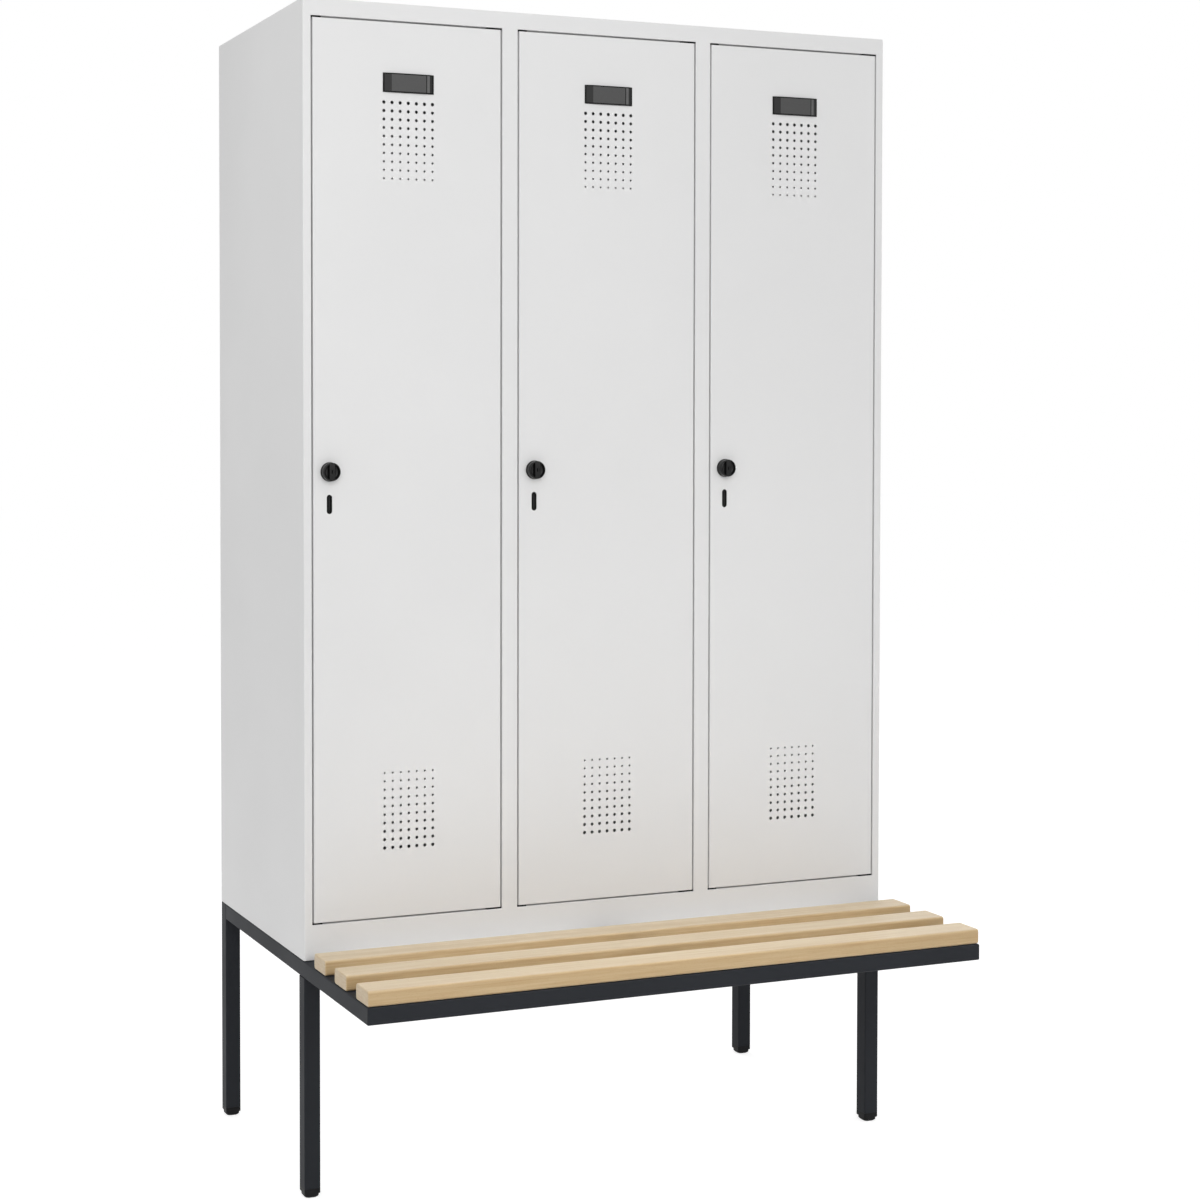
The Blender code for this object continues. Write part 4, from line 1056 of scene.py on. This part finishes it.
def coat_hook(number):
    """Double hook with round prongs on a ring that slides along the rail."""
    node = f"coat_hook_{number}"
    low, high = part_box(node)
    rail_low, rail_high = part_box(f"clothes_rail_{number}")
    rail_z = (rail_low.z + rail_high.z) / 2
    half = (high.x - low.x) / 2
    lay = shifted(along_x, ((low.x + high.x) / 2, (low.y + high.y) / 2, rail_z))
    ring = bmesh.new()
    add_tube(ring, oval(HOOK_CLEARANCE + HOOK_WALL), oval(HOOK_CLEARANCE),
             lambda a, b: -half, lambda a, b: half, lay)
    stem_top = -(RAIL_HEIGHT / 2 + HOOK_CLEARANCE + HOOK_WALL / 2)
    outline = hook_outline(stem_top, stem_top - HOOK_STEM)
    prongs = bmesh.new()
    add_rings(prongs, [(outline, -half), (outline, half)], lay)
    for name, bm, replaces in (("ring", ring, (node,)), ("prongs", prongs, ())):
        piece = add_piece(f"hook_{name}_{number}", bm, f"hook_{number}", "black_plastic", replaces,
                          weighted=False)
        soften(piece, HOOK_SOFTNESS, FOLD_SEGMENTS)


# Base frame and bench

def tube_piece(name, low_end, high_end, lay):
    """Square tube with round corners, in place of the frame's node."""
    outer = rounded_outline(TUBE, TUBE, TUBE_CORNER)
    bore = TUBE - 2 * TUBE_WALL
    inner = rounded_outline(bore, bore, TUBE_CORNER - TUBE_WALL / 2)
    bm = bmesh.new()
    add_tube(bm, outer, inner, low_end, high_end, lay)
    add_piece(f"{name}_tube", bm, "root", "anthracite_enamel", (name,))


def base_frame():
    """Mitred bench corners, straight rails and legs, each placed by its frame node."""
    for side_name, side in (("left", -1), ("right", 1)):
        low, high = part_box(f"side_rail_{side_name}")
        x, z = (low.x + high.x) / 2, (low.z + high.z) / 2
        start, end = low.y + TUBE / 2, high.y
        tube_piece(f"side_rail_{side_name}", lambda a, b: start - side * b, lambda a, b: end,
                   lambda a, b, c: Vector((x + b, c, z + a)))
    low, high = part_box("front_rail")
    y, z = (low.y + high.y) / 2, (low.z + high.z) / 2
    reach = high.x - TUBE / 2
    tube_piece("front_rail", lambda a, b: -reach + b, lambda a, b: reach - b,
               lambda a, b, c: Vector((c, y + b, z + a)))
    straight = {"cross_rail": along_x, "rear_rail": along_x, "bench_bearer": along_y}
    for corner in CORNERS:
        straight[f"leg_{corner}"] = along_z
    for name, lay in straight.items():
        low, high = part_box(name)
        middle = (low + high) / 2
        axis = {along_x: 0, along_y: 1, along_z: 2}[lay]
        middle[axis] = 0.0
        ends = low[axis], high[axis]
        tube_piece(name, lambda a, b: ends[0], lambda a, b: ends[1], shifted(lay, middle))


def feet():
    """Plug under each leg: a collar as wide as the tube, a small step and a bevelled foot."""
    top = FOOT_HEIGHT - GAP
    neck = TUBE - 2 * FOOT_STEP
    plug = TUBE - 2 * TUBE_WALL - 2 * GAP
    sections = [
        (FOOT_TIP - 2 * FOOT_SOFTNESS, FOOT_CORNER, 0.0),
        (FOOT_TIP, FOOT_CORNER, FOOT_SOFTNESS),
        (neck - FOOT_SOFTNESS, FOOT_CORNER, FOOT_BEVEL - FOOT_SOFTNESS),
        (neck, FOOT_CORNER, FOOT_BEVEL + FOOT_SOFTNESS),
        (neck, FOOT_CORNER, FOOT_SHOULDER),
        (TUBE - FOOT_SOFTNESS, TUBE_CORNER, FOOT_SHOULDER),
        (TUBE, TUBE_CORNER, FOOT_SHOULDER + FOOT_SOFTNESS),
        (TUBE, TUBE_CORNER, top),
        (plug, TUBE_CORNER / 2, top),
        (plug, TUBE_CORNER / 2, top + FOOT_HEIGHT),
    ]
    rings = [(rounded_outline(width, width, corner), z) for width, corner, z in sections]
    for corner in CORNERS:
        node = f"foot_{corner}"
        low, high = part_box(node)
        centre = ((low.x + high.x) / 2, (low.y + high.y) / 2, 0)
        bm = bmesh.new()
        add_rings(bm, rings, shifted(along_z, centre))
        add_piece(f"plug_{corner}", bm, "root", "black_plastic", (node,), foot_plastic)


def bench_slats():
    """Planed slats with rounded edges and slightly rounded ends."""
    for number in SLATS:
        node = f"bench_slat_{number}"
        low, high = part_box(node)
        width, height = high.y - low.y, high.z - low.z
        lay = shifted(along_x, (0, (low.y + high.y) / 2, (low.z + high.z) / 2))
        sections = []
        for end, inward in ((low.x, 1), (high.x, -1)):
            rounding = []
            for angle in quarter_turn(ARC_STEPS):
                inset = SLAT_END_ROUNDING * (1 - sin(angle))
                outline = rounded_outline(width - 2 * inset, height - 2 * inset,
                                          SLAT_ROUNDING - inset / 2)
                rounding.append((outline, end + inward * SLAT_END_ROUNDING * (1 - cos(angle))))
            sections += rounding if inward > 0 else rounding[::-1]
        bm = bmesh.new()
        add_rings(bm, sections, lay)
        add_piece(f"slat_{number}", bm, "root", "beech", (node,))


# Stage: camera, light and floor

def photo_camera():
    """Camera at the place that the photograph's perspective gives."""
    data = bpy.data.cameras.new("photo_camera")
    data.sensor_width = SENSOR_MM
    data.lens = CAMERA_FOCAL_PIXELS / PHOTO_PIXELS * SENSOR_MM
    data.shift_x, data.shift_y = CAMERA_SHIFT
    camera = bpy.data.objects.new("photo_camera", data)
    bpy.context.scene.collection.objects.link(camera)
    turn = Matrix.Rotation(-CAMERA_YAW, 4, "Z") @ Matrix.Rotation(pi / 2 + CAMERA_PITCH, 4, "X")
    turn = turn @ Matrix.Rotation(CAMERA_ROLL, 4, "Z")
    camera.matrix_world = Matrix.Translation(CAMERA_PLACE) @ turn
    bpy.context.scene.camera = camera


def is_seen_directly(tree):
    """One where a ray comes from the camera, a reflection or a clear surface."""
    path = tree.nodes.new("ShaderNodeLightPath")
    total = path.outputs["Is Camera Ray"]
    for name in ("Is Glossy Ray", "Is Transmission Ray"):
        addition = tree.nodes.new("ShaderNodeMath")
        addition.operation = "ADD"
        addition.use_clamp = True
        tree.links.new(total, addition.inputs[0])
        tree.links.new(path.outputs[name], addition.inputs[1])
        total = addition.outputs["Value"]
    return total


def link_by_sight(tree, lighting, seen, surface):
    """One shader where the rays see the surface directly, the other where it only gives light."""
    choice = tree.nodes.new("ShaderNodeMixShader")
    tree.links.new(is_seen_directly(tree), choice.inputs["Fac"])
    tree.links.new(lighting, choice.inputs[1])
    tree.links.new(seen, choice.inputs[2])
    tree.links.new(choice.outputs["Shader"], surface)


def studio_world():
    """Even light from all round, with a white backdrop where it is seen directly."""
    world = bpy.data.worlds.new("studio")
    world.use_nodes = True
    bpy.context.scene.world = world
    tree = world.node_tree
    lamp = tree.nodes["Background"]
    backdrop = tree.nodes.new("ShaderNodeBackground")
    for node, strength in ((lamp, WORLD_LIGHT), (backdrop, BACKDROP_LIGHT)):
        node.inputs["Color"].default_value = WHITE
        node.inputs["Strength"].default_value = strength
    link_by_sight(tree, lamp.outputs["Background"], backdrop.outputs["Background"],
                  tree.nodes["World Output"].inputs["Surface"])


def studio_floor():
    """Wide white floor that keeps a faint shadow of the object."""
    bm = bmesh.new()
    corners = ((-1, -1), (1, -1), (1, 1), (-1, 1))
    bm.faces.new([bm.verts.new((a * FLOOR_REACH, b * FLOOR_REACH, 0.0)) for a, b in corners])
    floor = linked_object("floor", bm)
    material = bpy.data.materials.new("floor")
    material.use_nodes = True
    tree = material.node_tree
    tree.nodes.remove(tree.nodes["Principled BSDF"])
    matt = tree.nodes.new("ShaderNodeBsdfDiffuse")
    pale = tree.nodes.new("ShaderNodeBsdfDiffuse")
    for node, tone in ((matt, FLOOR_TONE), (pale, FLOOR_SEEN_TONE)):
        node.inputs["Color"].default_value = (tone, tone, tone, 1.0)
    glow = tree.nodes.new("ShaderNodeEmission")
    glow.inputs["Strength"].default_value = FLOOR_GLOW
    seen = tree.nodes.new("ShaderNodeAddShader")
    tree.links.new(pale.outputs["BSDF"], seen.inputs[0])
    tree.links.new(glow.outputs["Emission"], seen.inputs[1])
    link_by_sight(tree, matt.outputs["BSDF"], seen.outputs["Shader"],
                  tree.nodes["Material Output"].inputs["Surface"])
    floor.data.materials.append(material)


def area_light(name, place, target, size, power, spread):
    data = bpy.data.lights.new(name, "AREA")
    data.shape = "RECTANGLE"
    data.size, data.size_y = size
    data.energy = power
    data.spread = spread
    light = bpy.data.objects.new(name, data)
    light.location = place
    light.rotation_euler = (Vector(target) - Vector(place)).to_track_quat("-Z", "Y").to_euler()
    bpy.context.scene.collection.objects.link(light)


def main():
    front_frame()
    cabinet_sheets()
    for number in DOORS:
        door_panel(number)
        label_holder(number)
        lock_case(number)
        turn_knob(number)
        pivot_pins(number)
        corner_buffers(number)
        clothes_rail(number)
        coat_hook(number)
    base_frame()
    feet()
    bench_slats()
    photo_camera()
    studio_world()
    studio_floor()
    for lamp in LAMPS:
        area_light(*lamp)
    bpy.context.scene.view_settings.view_transform = "Standard"


main()
